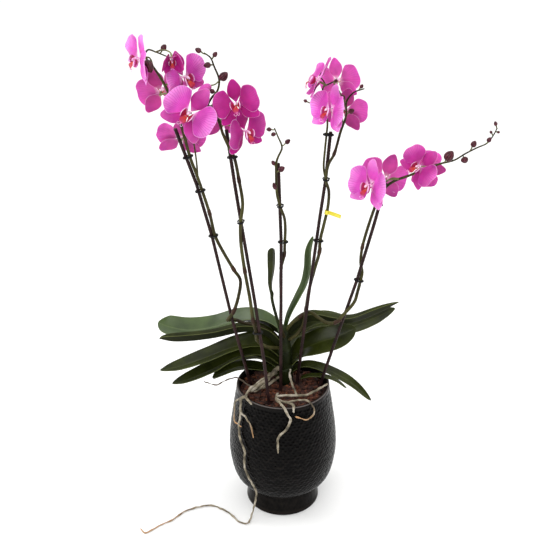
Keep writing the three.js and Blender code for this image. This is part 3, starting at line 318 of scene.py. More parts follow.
plasticLooks = {
    "plumStake": {"scale": 60, "dark": "#1C0F10", "light": "#34201F", "rough": 0.42},
    "blackClip": {"scale": 200, "dark": "#0C0C0D", "light": "#18181A", "rough": 0.35},
    "yellowLabel": {"scale": 90, "dark": "#DCCB36", "light": "#F0E45C", "rough": 0.45},
}
finishes = {"glaze": hammeredGlaze(), "bark": driedBark(), "column": columnWax(), "bud": budSkin()}
for make, looks in ((leafSkin, leafLooks), (stemSkin, stemLooks), (petalTissue, petalLooks), (lipTissue, lipLooks),
                    (rootSkin, rootLooks), (plasticSkin, plasticLooks)):
    finishes.update({name: make(name, look) for name, look in looks.items()})
print("materials:", len(finishes))


# Shapes

def mix(a, b, t):
    return a + (b - a) * t


def smooth(t, low, high):
    t = min(max((t - low) / (high - low), 0), 1)
    return t * t * (3 - 2 * t)


def gridShape(name, across, along, place, round=False):
    # a grid primitive whose vertices are moved to place(u, v), u and v from 0 to 1; a round one has its UV map
    # on the disc as well
    bpy.ops.mesh.primitive_grid_add(x_subdivisions=across, y_subdivisions=along, size=2, calc_uvs=True)
    piece = bpy.context.object
    piece.name = name
    for i, vertex in enumerate(piece.data.vertices):
        vertex.co = place(i % (across + 1) / across, i // (across + 1) / along)
    if round:
        for corner in piece.data.uv_layers[0].data:
            x, y = discOf(*corner.uv)
            corner.uv = (x + 1) / 2, (y + 1) / 2
    return piece


def closeSeams():
    # welds the edges of the rolled grid that was just made and turns every face outwards
    bpy.ops.object.mode_set(mode="EDIT")
    bpy.ops.mesh.select_all(action="SELECT")
    bpy.ops.mesh.remove_doubles(threshold=1e-6)
    bpy.ops.mesh.normals_make_consistent(inside=False)
    bpy.ops.object.mode_set(mode="OBJECT")


def turnOver():
    # turns the faces of the sheet that was just made to its other side
    bpy.ops.object.mode_set(mode="EDIT")
    bpy.ops.mesh.select_all(action="SELECT")
    bpy.ops.mesh.flip_normals()
    bpy.ops.object.mode_set(mode="OBJECT")


def applyModifier(piece, kind, **settings):
    bpy.context.view_layer.objects.active = piece
    modifier = piece.modifiers.new(kind.lower(), kind)
    for key, value in settings.items():
        setattr(modifier, key, value)
    bpy.ops.object.modifier_apply(modifier=modifier.name)


def joinPieces(name, parts):
    bpy.ops.object.select_all(action="DESELECT")
    for part in parts:
        part.select_set(True)
    bpy.context.view_layer.objects.active = parts[0]
    bpy.ops.object.join()
    parts[0].name = name
    return parts[0]


def paint(piece, *names):
    for name in names:
        piece.data.materials.append(finishes[name])
    return piece


def finishPiece(piece, node, angle=50):
    # smooth shading, the CAD body that it rides on, and the node it stands for, which it hides
    bpy.ops.object.select_all(action="DESELECT")
    piece.select_set(True)
    bpy.context.view_layer.objects.active = piece
    bpy.ops.object.shade_smooth_by_angle(angle=math.radians(angle))
    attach(piece, "root")
    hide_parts(node)


def curvePoint(path, t):
    # a centripetal curve through every point of a path, t from 0 to 1
    last = len(path) - 1
    span = min(int(t * last), last - 1)
    w = t * last - span
    b, c = Vector(path[span][:3]), Vector(path[span + 1][:3])
    a = Vector(path[span - 1][:3]) if span else b * 2 - c
    d = Vector(path[span + 2][:3]) if span + 2 <= last else c * 2 - b
    ab, bc, cd = [max((q - p).length, 1e-6) ** 0.5 for p, q in ((a, b), (b, c), (c, d))]
    start = ((b - a) / ab - (c - a) / (ab + bc) + (c - b) / bc) * bc
    end = ((c - b) / bc - (d - b) / (bc + cd) + (d - c) / cd) * bc
    return b + start * w + (c * 3 - b * 3 - start * 2 - end) * w ** 2 + (b * 2 - c * 2 + start + end) * w ** 3


def curveAlong(path, t):
    return (curvePoint(path, min(t + 1e-3, 1)) - curvePoint(path, max(t - 1e-3, 0))).normalized()


def sampled(path, steps):
    # points and radii along the curve, in metres
    count = (len(path) - 1) * steps
    points = [curvePoint(path, i / count) * mm for i in range(count + 1)]
    radii = []
    for i in range(count + 1):
        span = min(i // steps, len(path) - 2)
        radii.append(mix(path[span][3], path[span + 1][3], i / steps - span) * mm)
    return points, radii


def tube(name, points, radii, around=10, relief=None, blunt=False):
    # a closed rod through the points, with round or flat ends; relief(length, angle) is added to its radius
    rings, side, length = [], Vector((0.3, 1, 0.2)), 0
    for i, point in enumerate(points):
        along = (points[min(i + 1, len(points) - 1)] - points[max(i - 1, 0)]).normalized()
        side = (side - along * side.dot(along)).normalized()
        length += (point - points[i - 1]).length if i else 0
        rings.append((point, side, along.cross(side), radii[i], length))
    capped = []
    for ring, way in ((rings[0], -1), (rings[-1], 1)):
        centre, one, other, radius, length = ring
        along = one.cross(other) * way
        steps = [(0.8, 0), (0, 0)] if blunt else [(0.8, 0.55), (0.45, 0.85), (0, 1)]
        cap = [(centre + along * radius * out, one, other, radius * wide, length) for wide, out in steps]
        capped.append(cap)
    rings = capped[0][::-1] + rings + capped[1]

    def place(u, v):
        centre, one, other, radius, length = rings[round(v * (len(rings) - 1))]
        angle = 2 * math.pi * (u % 1)
        if relief and radius > 0:
            radius += relief(length, angle)
        return centre + one * radius * math.cos(angle) + other * radius * math.sin(angle)

    piece = gridShape(name, around, len(rings) - 1, place)
    closeSeams()
    return piece


def discOf(u, v):
    # the unit square on the unit disc, so that a grid gets a round outline
    a, b = 2 * u - 1, 2 * v - 1
    return a * math.sqrt(1 - b * b / 2), b * math.sqrt(1 - a * a / 2)


# Pot

pot = {
    "belly": [(62, 40), (75, 47), (89, 62), (99.5, 104), (100, 146), (93.5, 199), (85.5, 247)],
    "base": [(0, 0), (66, 0), (68, 0.6), (69, 2.4)], "foot": [(68.9, 5), (68.4, 8), (65.4, 30), (63, 39)],
    "rim": [(85.2, 250.4), (84.8, 251.5), (84, 252), (81.2, 252), (80.2, 251.5), (79.7, 250)],
    "wall": 6, "around": 400, "footRows": 16, "rowStep": 1.2,
    # hammer marks 9 mm apart in staggered rows
    "columns": 70, "pitch": 5.6, "depth": 1.3, "mark": (3.9, 2.6), "footMarks": 0.4,
}


def bellyPoint(t):
    point = curvePoint([(r, z, 0) for r, z in pot["belly"]], t)
    return point.x, point.y


def bellyRows():
    # radius, height and length up the wall, in even steps of that length
    fine = [bellyPoint(i / 600) for i in range(601)]
    rows, length, wanted = [], 0, 0
    for (r0, z0), (r1, z1) in zip(fine, fine[1:]):
        if length >= wanted:
            rows.append((r0, z0, length))
            wanted += pot["rowStep"]
        length += math.hypot(r1 - r0, z1 - z0)
    return rows + [(*fine[-1], length)]


def hammerMark(angle, radius, length, z):
    # how deep a point lies, from 0 to about 1: wide shallow dents with soft ridges between them, faint on the
    # foot and towards the rim, none of them alike
    strength = smooth(z, 40, 50) * (1 - smooth(z, 243, 248)) + pot["footMarks"] * smooth(z, 6, 10) * (z < 37)
    if strength == 0:
        return 0
    column, row = angle / 2 / math.pi * pot["columns"], length / pot["pitch"]
    wide = 2 * math.pi * radius / pot["columns"]
    total = 0
    for j in range(math.floor(row) - 1, math.floor(row) + 3):
        i = round(column - 0.5 * (j % 2))
        own = noise.cell_vector(Vector((i % pot["columns"] + 0.5, j + 0.5, 3.5)))
        across = (column - i - 0.5 * (j % 2) + 0.2 * (own.x - 0.5)) * wide / pot["mark"][0]
        up = (row - j + 0.35 * (own.y - 0.5)) * pot["pitch"] / pot["mark"][1]
        total += math.exp(-across * across - up * up) * (0.7 + 0.5 * own.z)
    return min(total, 1.15) * strength


def buildPot():
    rows = bellyRows()
    outside = [(r, z, 0) for r, z in pot["base"]]
    for i in range(pot["footRows"]):
        point = curvePoint([(r, z, 0) for r, z in pot["foot"]], i / (pot["footRows"] - 1))
        outside.append((point.x, point.y, point.y))
    outside += [(r, z, length) for r, z, length in rows]
    outside += [(r, z, 0) for r, z in pot["rim"]]
    inside = [(r - pot["wall"], z, 0) for r, z, length in rows[::-6] if z > 60]
    inside += [(56, 50, 0), (56, 14, 0), (52, 10, 0), (0, 10, 0)]
    profile = outside + inside
    thinness = []  # painted highlight on the ridges, the foot and the rim's edge, in the order of the grid's vertices

    def place(u, v):
        radius, z, length = profile[round(v * (len(profile) - 1))]
        angle = 2 * math.pi * (u % 1)
        # painted highlight: lighter ridges between the hammer marks and on the foot, a grey line along the rim's
        # edge
        thin = 0.25
        if length:
            mark = hammerMark(angle, radius, length, z)
            radius -= pot["depth"] * mark
            thin = mix(0.25, 0.34 * (1 - smooth(mark, 0.1, 0.7)), smooth(z, 40, 50) * (1 - smooth(z, 243, 248)))
            if z < 40:
                thin = 0.38 - 0.5 * mark
        elif z > 251 and radius > 83.5:
            thin = 0.85
        if 5 < z < 39 and radius > 60:
            radius += 0.25 * noise.noise(Vector((math.cos(angle) * 5, math.sin(angle) * 5, z / 12)))
        thinness.append(thin)
        return Vector((radius * math.cos(angle), radius * math.sin(angle), z)) * mm

    piece = gridShape("hammeredPot", pot["around"], len(profile) - 1, place)
    piece.data.attributes.new("thinGlaze", "FLOAT", "POINT").data.foreach_set("value", thinness)
    closeSeams()
    paint(piece, "glaze")
    finishPiece(piece, "pot")


buildPot()
print("pot")


# Bark

bark = {"top": 238, "radius": 79, "chips": 190, "spread": 73, "seed": 7, "lump": (-65.5, -43.5, 256),
        "lumpSize": (5.4, 4.8, 11), "lumpLean": (-0.45, -0.5, 0.72)}


def nearStem(x, y, gap):
    # true where a stake or the crown stands in the bark
    spots = [(points[0][0], points[0][1], 2.5) for points in stakes.values()] + [(4, 27, 13)]
    return any(math.hypot(x - a, y - b) < radius + gap for a, b, radius in spots)


def barkChip(draw, long, wide, high):
    # a torn flake: a bevelled block with its corners pulled about
    bpy.ops.mesh.primitive_cube_add(size=1)
    chip = bpy.context.object
    for vertex in chip.data.vertices:
        pulled = [c * draw.uniform(0.7, 1.15) for c in vertex.co]
        vertex.co = Vector((pulled[0] * long, pulled[1] * wide, pulled[2] * high)) * mm
    bpy.ops.object.mode_set(mode="EDIT")
    bpy.ops.mesh.select_all(action="SELECT")
    bpy.ops.mesh.subdivide(number_cuts=1, fractal=0.5, seed=draw.randrange(9000))
    bpy.ops.mesh.bevel(offset=0.0007, segments=1, affect="EDGES")
    bpy.ops.object.mode_set(mode="OBJECT")
    return chip


def buildBark():
    draw = random.Random(bark["seed"])

    def fill(u, v):
        x, y = discOf(u, v)
        x, y = x * bark["radius"], y * bark["radius"]
        lift = 2.2 * noise.noise(Vector((x / 9, y / 9, 1))) + 1.2 * noise.noise(Vector((x / 3.5, y / 3.5, 5)))
        return Vector((x, y, bark["top"] - 2.5 + lift)) * mm

    parts = [gridShape("barkFill", 70, 70, fill)]
    applyModifier(parts[0], "SOLIDIFY", thickness=0.012, offset=-1)
    forms = [barkChip(draw, *size) for size in ((17, 11, 6), (13, 9, 7), (22, 10, 5), (9, 7, 5), (11, 6, 4))]
    for i in range(bark["chips"]):
        angle = i * math.radians(137.5)
        away = bark["spread"] * math.sqrt((i + 0.5) / bark["chips"])
        x, y = away * math.cos(angle), away * math.sin(angle)
        if nearStem(x, y, 5):
            continue
        chip = forms[draw.choice((0, 1, 1, 2, 3, 3, 4))].copy()
        chip.data = chip.data.copy()
        bpy.context.collection.objects.link(chip)
        turn = Matrix.Rotation(draw.uniform(0, 2 * math.pi), 4, "Z")
        for axis in "XY":
            turn = turn @ Matrix.Rotation(draw.gauss(0, 0.35), 4, axis)
        lift = bark["top"] + draw.uniform(-1.5, 3.5)
        chip.data.transform(Matrix.Translation(Vector((x, y, lift)) * mm) @ turn)
        parts.append(chip)
    for form in forms:
        bpy.data.objects.remove(form)
    bpy.ops.mesh.primitive_ico_sphere_add(subdivisions=3, radius=1)
    lump = bpy.context.object
    # a torn lump that leans out of the bark over the rim
    lean = Vector(bark["lumpLean"]).to_track_quat("Z", "Y").to_matrix()
    for vertex in lump.data.vertices:
        rough = 1 + 0.3 * noise.noise(vertex.co * 2.2) + 0.16 * noise.noise(vertex.co * 6)
        away = Vector([c * size * rough for c, size in zip(vertex.co, bark["lumpSize"])])
        vertex.co = (lean @ away + Vector(bark["lump"])) * mm
    piece = joinPieces("barkMulch", parts + [lump])
    paint(piece, "bark")
    finishPiece(piece, "bark", 30)


# Stakes and clips

stakes = {
    "stake_1": [[-60, 14, 240], [-91, 10, 378], [-121, 0, 543], [-143, -10, 641], [-172, -20, 737]],
    "stake_2": [
        [-25, -50, 240], [-33, -50, 322], [-49, -47, 446], [-70, -45, 590], [-79, -43, 655], [-90, -40, 741],
    ],
    "stake_3": [[-4, -3, 240], [-4, -2, 380], [-4, 0, 533], [-9, 0, 673]],
    "stake_4": [[26, 14, 240], [45, 16, 424], [61, 16, 567], [70, 16, 640], [76, 16, 721]],
    "stake_5": [[67, 3, 240], [88, 5, 316], [104, 4, 374], [128, 3, 460], [152, 0, 564], [168, 0, 639]],
}

stake = {"radius": 2.8, "ribs": 5, "ribDepth": 0.28, "twist": 26, "sunk": 12}  # a rib turns once in 26 mm


def atHeight(path, height):
    # where a path of straight spans first passes a height
    for low, high in zip(path, path[1:]):
        if high[2] >= height:
            return Vector(low[:3]).lerp(Vector(high[:3]), (height - low[2]) / (high[2] - low[2]))


def beside(stakeName, height, turn, radius, apart=6.3):
    # a place of a stem beside a stake, `turn` degrees round it from the right, `apart` from its middle
    middle = atHeight(stakes[stakeName], height)
    angle = math.radians(turn)
    return [middle.x + apart * math.cos(angle), middle.y + apart * math.sin(angle), height, radius]


def buildStake(node, path):
    # an extruded rod with fine ribs that wind round it, cut off flat
    spans = [(Vector(a), Vector(b)) for a, b in zip(path, path[1:])]
    points = []
    for a, b in spans:
        count = max(2, round((b - a).length / 1.5))
        points += [a.lerp(b, i / count) * mm for i in range(count)]
    points.append(Vector(path[-1]) * mm)
    foot = (points[0] - points[1]).normalized()
    points.insert(0, points[0] + foot * stake["sunk"] * mm)

    def ribs(along, angle):
        wound = stake["ribs"] * (angle + along / mm * 2 * math.pi / stake["twist"])
        return stake["ribDepth"] * mm * math.cos(wound)

    radii = [stake["radius"] * mm] * len(points)
    piece = tube("ribbed_" + node, points, radii, 20, ribs, blunt=True)
    paint(piece, "plumStake")
    finishPiece(piece, node, 60)


for node, path in stakes.items():
    buildStake(node, path)
print("stakes:", len(stakes))
buildBark()
print("bark")

# Each clip holds a spike's stem to the stake at a height, or the twig whose number comes third.
clips = {
    "clip_1_low": ["stake_1", 545],
    "clip_1_mid": ["stake_1", 628],
    "clip_1_high": ["stake_1", 688],
    "clip_2_low": ["stake_2", 384],
    "clip_2_mid": ["stake_2", 590],
    "clip_2_high": ["stake_2", 697],
    "clip_3_low": ["stake_3", 533],
    "clip_3_high": ["stake_3", 600],
    "clip_4_low": ["stake_4", 529],
    "clip_4_mid": ["stake_4", 641],
    "clip_4_high": ["stake_4", 716, 0],
    "clip_5_low": ["stake_5", 460],
    "clip_5_high": ["stake_5", 601],
}

# Crown and leaves

crown = {
    "path": [[4, 27, 225, 13], [4, 27, 250, 14], [3, 28, 300, 12], [1, 30, 346, 8]], "length": 121, "sheaths": 7,
}


def buildCrown():
    # the old leaf bases: collars that widen upwards, one above the other on the two sides in turn
    points, radii = sampled(crown["path"], 24)

    def collars(along, angle):
        # a sheath's rim stands highest on the side of its leaf
        side = math.cos(angle)
        step = along / mm / crown["length"] * crown["sheaths"]
        left, right = (step + 0.45 * side) % 2 / 2, (step + 1 - 0.45 * side) % 2 / 2
        return (2.6 * max(left * max(side, 0), right * max(-side, 0)) + 0.7 * max(left, right) - 0.4) * mm

    piece = tube("leafyCrown", points, radii, 36, collars)
    paint(piece, "crownSheath")
    finishPiece(piece, "crown", 30)


buildCrown()

# The midrib from root to tip, the half width, how steeply both halves rise from the midrib (fold) and how far
# the blade turns about it (roll), from root to tip in degrees. What a leaf doesn't say is in leafShape, where
# `far` points across the blade.
leaves = {
    "leaf_left_1": {
        "path": [
            [-8, 38, 333], [-38, 58, 343], [-80, 84, 335], [-128, 96, 315], [-181, 104, 303], [-223, 112, 308],
            [-239, 114, 315],
        ],
        "halfWidth": 29, "fold": [40, 12], "roll": [-12, 38], "wave": 2, "skin": "oldLeafTop",
    },
    "leaf_left_2": {
        "path": [
            [-9, 27, 312], [-35, 30, 335], [-69, 34, 339], [-124, 28, 330], [-169, 20, 328], [-201, 12, 332],
            [-223, 8, 340],
        ],
        "halfWidth": 22, "fold": [50, 50], "roll": [-10, -18],
    },
    "leaf_left_3": {
        "path": [
            [-10, 29, 288], [-39, 38, 306], [-80, 49, 300], [-146, 50, 273], [-194, 52, 254], [-232, 52, 246],
        ],
        "halfWidth": 28, "fold": [40, 14], "roll": [5, 16], "wave": 1.5, "point": 1,
    },
    "leaf_left_4": {
        "path": [
            [-10, 29, 270], [-39, 38, 286], [-80, 46, 280], [-127, 46, 254], [-175, 44, 232], [-209, 40, 224],
        ],
        "halfWidth": 28, "fold": [40, 16], "roll": [0, 16], "wave": 1.5, "point": 1,
    },
    "leaf_left_5": {
        "path": [[-8, 36, 256], [-48, 62, 268], [-94, 78, 258], [-136, 84, 228]],
        "halfWidth": 25, "fold": [40, 14], "roll": [0, 22],
    },
    "leaf_left_6": {
        "path": [[-10, 28, 247], [-39, 36, 258], [-80, 38, 262], [-115, 38, 248], [-132, 38, 238]],
        "halfWidth": 16, "fold": [30, 12], "roll": [0, 14],
    },
    "leaf_right_1": {
        "path": [[9, 36, 328], [47, 46, 354], [86, 46, 353], [126, 48, 351], [173, 52, 368], [211, 54, 390]],
        "halfWidth": 24, "fold": [50, 40], "roll": [-10, -16], "wave": 2, "point": 1,
    },
    "leaf_right_2": {
        "path": [[10, 40, 317], [69, 81, 330], [127, 96, 316], [176, 108, 328], [214, 114, 346]],
        "halfWidth": 27, "fold": [40, 12], "roll": [10, 36], "wave": 1.5, "point": 1,
    },
    "leaf_right_3": {
        "path": [[16, 32, 272], [37, 41, 296], [68, 44, 311], [101, 47, 322], [134, 50, 338]],
        "halfWidth": 28, "fold": [20, 10], "roll": [5, 60],
    },
    "leaf_right_4": {
        "path": [[11, 46, 296], [36, 86, 305], [65, 94, 306], [98, 99, 300]],
        "halfWidth": 15, "fold": [35, 15], "roll": [0, 10],
    },
    "leaf_right_5": {
        "path": [[17, 38, 250], [39, 34, 266], [65, 34, 264], [97, 34, 250], [131, 32, 228], [167, 30, 193]],
        "halfWidth": 13, "fold": [35, 10], "roll": [0, 34], "widest": 0.6,
    },
    "leaf_right_6": {
        "path": [[34, 26, 244], [50, 20, 253], [72, 14, 257], [95, 12, 250], [118, 12, 232]],
        "halfWidth": 6.5, "fold": [30, 10], "roll": [0, 10], "wave": 0.5,
    },
    "leaf_upright_1": {
        "path": [[-20, 33, 414], [-22, 32, 436], [-20, 31, 466], [-20, 29, 500], [-21, 26, 510]],
        "halfWidth": 12, "fold": [60, 25], "roll": [0, 0], "far": [1, 0.3, 0], "wave": 0.5,
        "root": 0.35, "widest": 0.8, "point": 1, "upright": 1,
        "stalk": [
            [-4, 31, 343, 3], [-13, 33, 375, 2.8], [-20, 33, 408, 2.8], [-20, 33, 418, 3.4],
            [-21, 32, 424, 2.4],
        ],
    },
    "leaf_upright_2": {
        "path": [
            [5, 40, 338], [13, 41, 372], [29, 40, 411], [39, 41, 436], [44, 43, 464], [45, 45, 498],
            [52, 47, 524],
        ],
        "halfWidth": 8.5, "fold": [50, 20], "roll": [20, -10], "far": [1, -0.5, 0], "wave": 0.5, "upright": 1,
        "skin": "oldLeafTop",
    },
}

leafShape = {
    "thickness": 1.5, "rows": 52, "across": 16, "root": 0.8, "widest": 0.35, "wave": 1, "far": [0, 1, 0],
    "point": 0, "upright": 0, "skin": "glossyLeafTop",
}


def leafWidth(t, root, widest, pointed):
    # narrow at the root, full from `widest` on, with a round or a long pointed tip
    tip = max(1 - t ** 3, 0) ** 0.72 if pointed else max(1 - t ** 5.5, 0) ** 0.62
    return mix(root, 1, smooth(t, 0, widest)) * tip


def buildLeaf(node, form):
    path, far = form["path"], Vector(form["far"])
    seed = sum(map(ord, node)) % 50

    def place(u, v):
        t = 1 - (1 - v) ** 1.25 if v > 0.5 else v * (1 - 0.5 ** 1.25) * 2  # rows closer together at the tip
        t = min(t, 0.9995)
        side = 2 * u - 1
        along = curveAlong(path, t)
        across = (far - along * far.dot(along)).normalized()
        face = along.cross(across)
        if face.z < 0:
            face.negate()
        turn = math.radians(mix(*form["roll"], t))
        rise = math.radians(mix(*form["fold"], t))
        out = across * math.cos(turn) + face * math.sin(turn)
        top = face * math.cos(turn) - across * math.sin(turn)
        width = form["halfWidth"] * leafWidth(t, form["root"], form["widest"], form["point"])
        # each half arches up from the sharp midrib and turns down a little at the edge
        arch = 1.22 * (math.sqrt(side * side + 0.004) - 0.063) - 0.16 * side ** 2 - 0.06 * side ** 6
        ripple = form["wave"] * side ** 2 * math.sin(3 * math.pi * t)
        ripple += 0.5 * form["wave"] * side ** 2 * noise.noise(Vector((t * 9, side * 0.6, seed)))
        point = curvePoint(path, t) + out * side * width * math.cos(rise)
        return (point + top * (arch * width * math.sin(rise) + ripple)) * mm

    piece = gridShape("strap_" + node, leafShape["across"], leafShape["rows"], place)
    tops = sum(polygon.normal.z * polygon.area for polygon in piece.data.polygons)
    if form["upright"]:
        tops = sum(polygon.normal.dot(Vector((-0.3, -1, 0))) * polygon.area for polygon in piece.data.polygons)
    if tops < 0:
        turnOver()
    paint(piece, form["skin"], "leafUnderside")
    applyModifier(piece, "SOLIDIFY", thickness=leafShape["thickness"] * mm, offset=0, material_offset=1)
    applyModifier(piece, "SUBSURF", levels=1, render_levels=1)
    if "stalk" in form:
        stalk = paint(tube("leafStalk", *sampled(form["stalk"], 5), 12), "crownSheath")
        piece = joinPieces(piece.name, [piece, stalk])
    finishPiece(piece, node)


for node, form in leaves.items():
    buildLeaf(node, {**leafShape, **form})
print("leaves:", len(leaves))


# Spikes

# The stem and the twigs are x, y, z and radius, or in round brackets the height, the turn, the radius and the
# distance beside the stake. Rings are the numbers of the stem's places that bear a sheath. Each bud has its
# middle, where its stalk leaves the stem, its radius and its half length.
spikes = {
    "spike_1": {
        "stem": [
            [-6, 30, 328, 3.2], [-40, 32, 350, 3.2], [-70, 33, 358, 3.2], [-88, 28, 368, 3.2],
            [-98, 15, 374, 3.2], [-98, 3, 382, 3.2], [-88, 0, 398, 3.2], [-78, 3, 430, 3.1],
            [-75, 4, 460, 3.1], [-85, 2, 479, 3.1], [-101, -2, 512, 3], (545, -20, 3), (585, 0, 2.8, 7.4),
            (628, 0, 2.8), (660, 0, 2.7), (688, 0, 2.7), (735, 0, 2.6, 10.9), [-176, -21, 785, 2.5],
            [-187, -22, 812, 2.3], [-200, -20, 833, 1.8], [-213, -16, 851, 1.6], [-208, -14, 859, 1.4],
            [-196, -12, 855, 1.2], [-178, -10, 847, 1],
        ],
        "rings": [6, 9, 12],
        "twigs": [
            [(655, 0, 2.3), [-141, -8, 668, 1.6], [-143, -12, 700, 1.4], [-146, -18, 728, 1.3]],
        ],
        "buds": [
            ([-206, -31, 838], [-213, -16, 851], 7, 12), ([-184, -12, 862], [-190, -12, 853], 4.5, 5.5),
            ([-181, -8, 836], [-180, -10, 848], 5.5, 7),
        ],
    },
    "spike_2": {
        "stem": [
            [-6, 22, 312, 3.2], [-14, 6, 322, 3.2], [-32, -28, 345, 3.2], [-46, -45, 368, 3.2],
            (380, 170, 3.2), (388, 172, 3.2), (404, 175, 3.1, 7.9), (450, 180, 3.1, 7.5),
            (498, 180, 3, 7.9), (550, 195, 3), (590, -90, 3, 7.3), (620, -10, 2.8, 7.9),
            (657, 0, 2.8, 7.9), (697, -20, 2.7), (718, -90, 2.6, 8.1), [-96, -49, 740, 2.4],
            [-99, -46, 751, 2.3], [-106, -42, 765, 1.9], [-117, -42, 779, 1.8], [-112, -42, 791, 1.8],
            [-102, -42, 803, 1.7], [-99, -42, 820, 1.6], [-106, -42, 840, 1.4], [-111, -42, 853, 1.2],
            [-120, -42, 860, 1],
        ],
        "rings": [6, 8, 12],
        "twigs": [],
        "buds": [
            ([-129, -42, 864], [-118, -42, 859], 4, 5), ([-104, -42, 858], [-110, -42, 851], 3.6, 4.4),
            ([-116, -43, 842], [-107, -42, 842], 4.6, 5.6), ([-92, -42, 825], [-99, -42, 818], 6.5, 8),
            ([-110, -46, 803], [-103, -42, 801], 3.8, 4.6), ([-106, -47, 781], [-116, -42, 780], 5, 6),
            ([-121, -47, 807], [-100, -42, 818], 6.5, 12, "opening"),
        ],
    },
    "spike_3": {
        "stem": [
            [2, 20, 336, 3], (366, 90, 3, 8.9), (420, 90, 2.8), (480, 90, 2.8, 7.9), (505, 45, 2.7, 7.4),
            (533, 0, 2.7), (560, 0, 2.6, 7.9), (580, -32, 2.5, 7.9), (600, -85, 2.5),
            (622, -122, 2.4, 7.2), (655, -125, 2.3, 7.2), [-12, -7, 677, 2], [-9, -5, 686, 1.8],
            [-3, -1, 700, 1.6], [-10, 2, 718, 1.3], [-15, 2, 731, 1],
        ],
        "rings": [3, 4],
        "twigs": [],
        "buds": [
            ([6, 2, 709], [-4, 0, 702], 4, 5), ([-17, -2, 722], [-12, 2, 722], 3.6, 4.2),
            ([-24, 2, 729], [-14, 2, 729], 3.6, 4.2), ([-17, -5, 675], [-12, -7, 668], 3.6, 4.4),
            ([-3.5, -11, 667], [-12, -7, 660], 4.8, 6), ([-15, -10, 637], [-11.5, -6.5, 625], 3.6, 7),
        ],
    },
    "spike_4": {
        "stem": [
            [12, 22, 330, 3.2], [25, 20, 342, 3.2], [36, 22, 360, 3.2], (390, 95, 3.2, 8.1),
            (430, 90, 3.2, 7.1), (475, 50, 3.1, 7.5), (505, 10, 3.1, 8.1), (529, 0, 3), (560, 0, 2.8, 8.9),
            (590, 0, 2.7, 10.9), (620, -20, 2.7, 8.4), (641, -90, 2.6), (668, -80, 2.5, 7.9),
            [82, 11, 684, 2.4], [92, 12, 723, 2.3], [100, 13, 749, 1.8], [100, 14, 771, 1.6],
            [111, 14, 786, 1.3], [127, 14, 792, 1],
        ],
        "rings": [3, 6, 13],
        "twigs": [
            [
                (641, -90, 2.3), (660, -150, 1.9), (690, 180, 1.9), (716, 180, 1.8), [70, 10, 740, 1.7],
                [65, 9, 762, 1.6], [61, 12, 790, 1.4], [64, 14, 801, 1.2], [58, 14, 810, 1],
            ],
            [[62, 12, 796, 1.2], [72, 14, 800, 1.1], [80, 14, 804, 1]],
            [[65, 9, 762, 1.2], [52, 9, 766, 1], [36, 8, 773, 1]],
        ],
        "buds": [
            ([94, 12, 779], [100, 14, 770], 3.8, 4.6), ([108, 10, 757], [100, 13, 752], 4.2, 5.2),
            ([123, 14, 796], [118, 14, 789], 3, 3.6), ([58, 17, 814], [58, 14, 808], 3, 3.6),
            ([82, 14, 805], [78, 14, 803], 2.6, 3), ([34, 8, 774], [38, 8, 772], 2.8, 3.2),
        ],
    },
    "spike_5": {
        "stem": [
            [4, 29, 343, 3.2], [16, 27, 361, 3.2], [31, 29, 373, 3.2], [41, 30, 381, 3.2],
            [51, 22, 385, 3.2], [63, 9, 382, 3.2], [77, -4, 379, 3.2], [92, -7, 381, 3.2],
            [106, -5, 396, 3.1], (418, -20, 3.1, 8.9), (436, 0, 3.1, 8.4), (460, 0, 3), (472, 40, 3, 7.7),
            (490, 100, 2.8, 7.7), (520, 160, 2.7, 7.9), (560, 180, 2.7, 8.9), (601, 160, 2.6),
            (616, 115, 2.5, 7.2), (632, 50, 2.4, 8.4), [185, 2, 643, 2.3], [202, -4, 652, 2.3],
            [240, -6, 669, 1.8], [257, -6, 675, 1.7], [276, -6, 680, 1.5], [293, -6, 691, 1.4],
            [311, -6, 701, 1.3], [327, -6, 709, 1.2], [335, -6, 721, 1.1], [340, -6, 733, 1],
        ],
        "rings": [2, 7, 14],
        "twigs": [],
        "buds": [
            ([267, -8, 688], [258, -6, 676], 8, 9.5), ([293, -7, 681], [288, -6, 689], 6, 5.5),
            ([305, -8, 708], [300, -6, 695], 4.8, 5.8), ([329, -8, 715], [326, -6, 709], 3.8, 4.6),
            ([331, -6, 727], [335, -6, 721], 2.4, 2.8), ([343, -6, 727], [338, -6, 727], 2.2, 2.6),
            ([337, -6, 741], [340, -6, 733], 3, 4),
        ],
    },
}

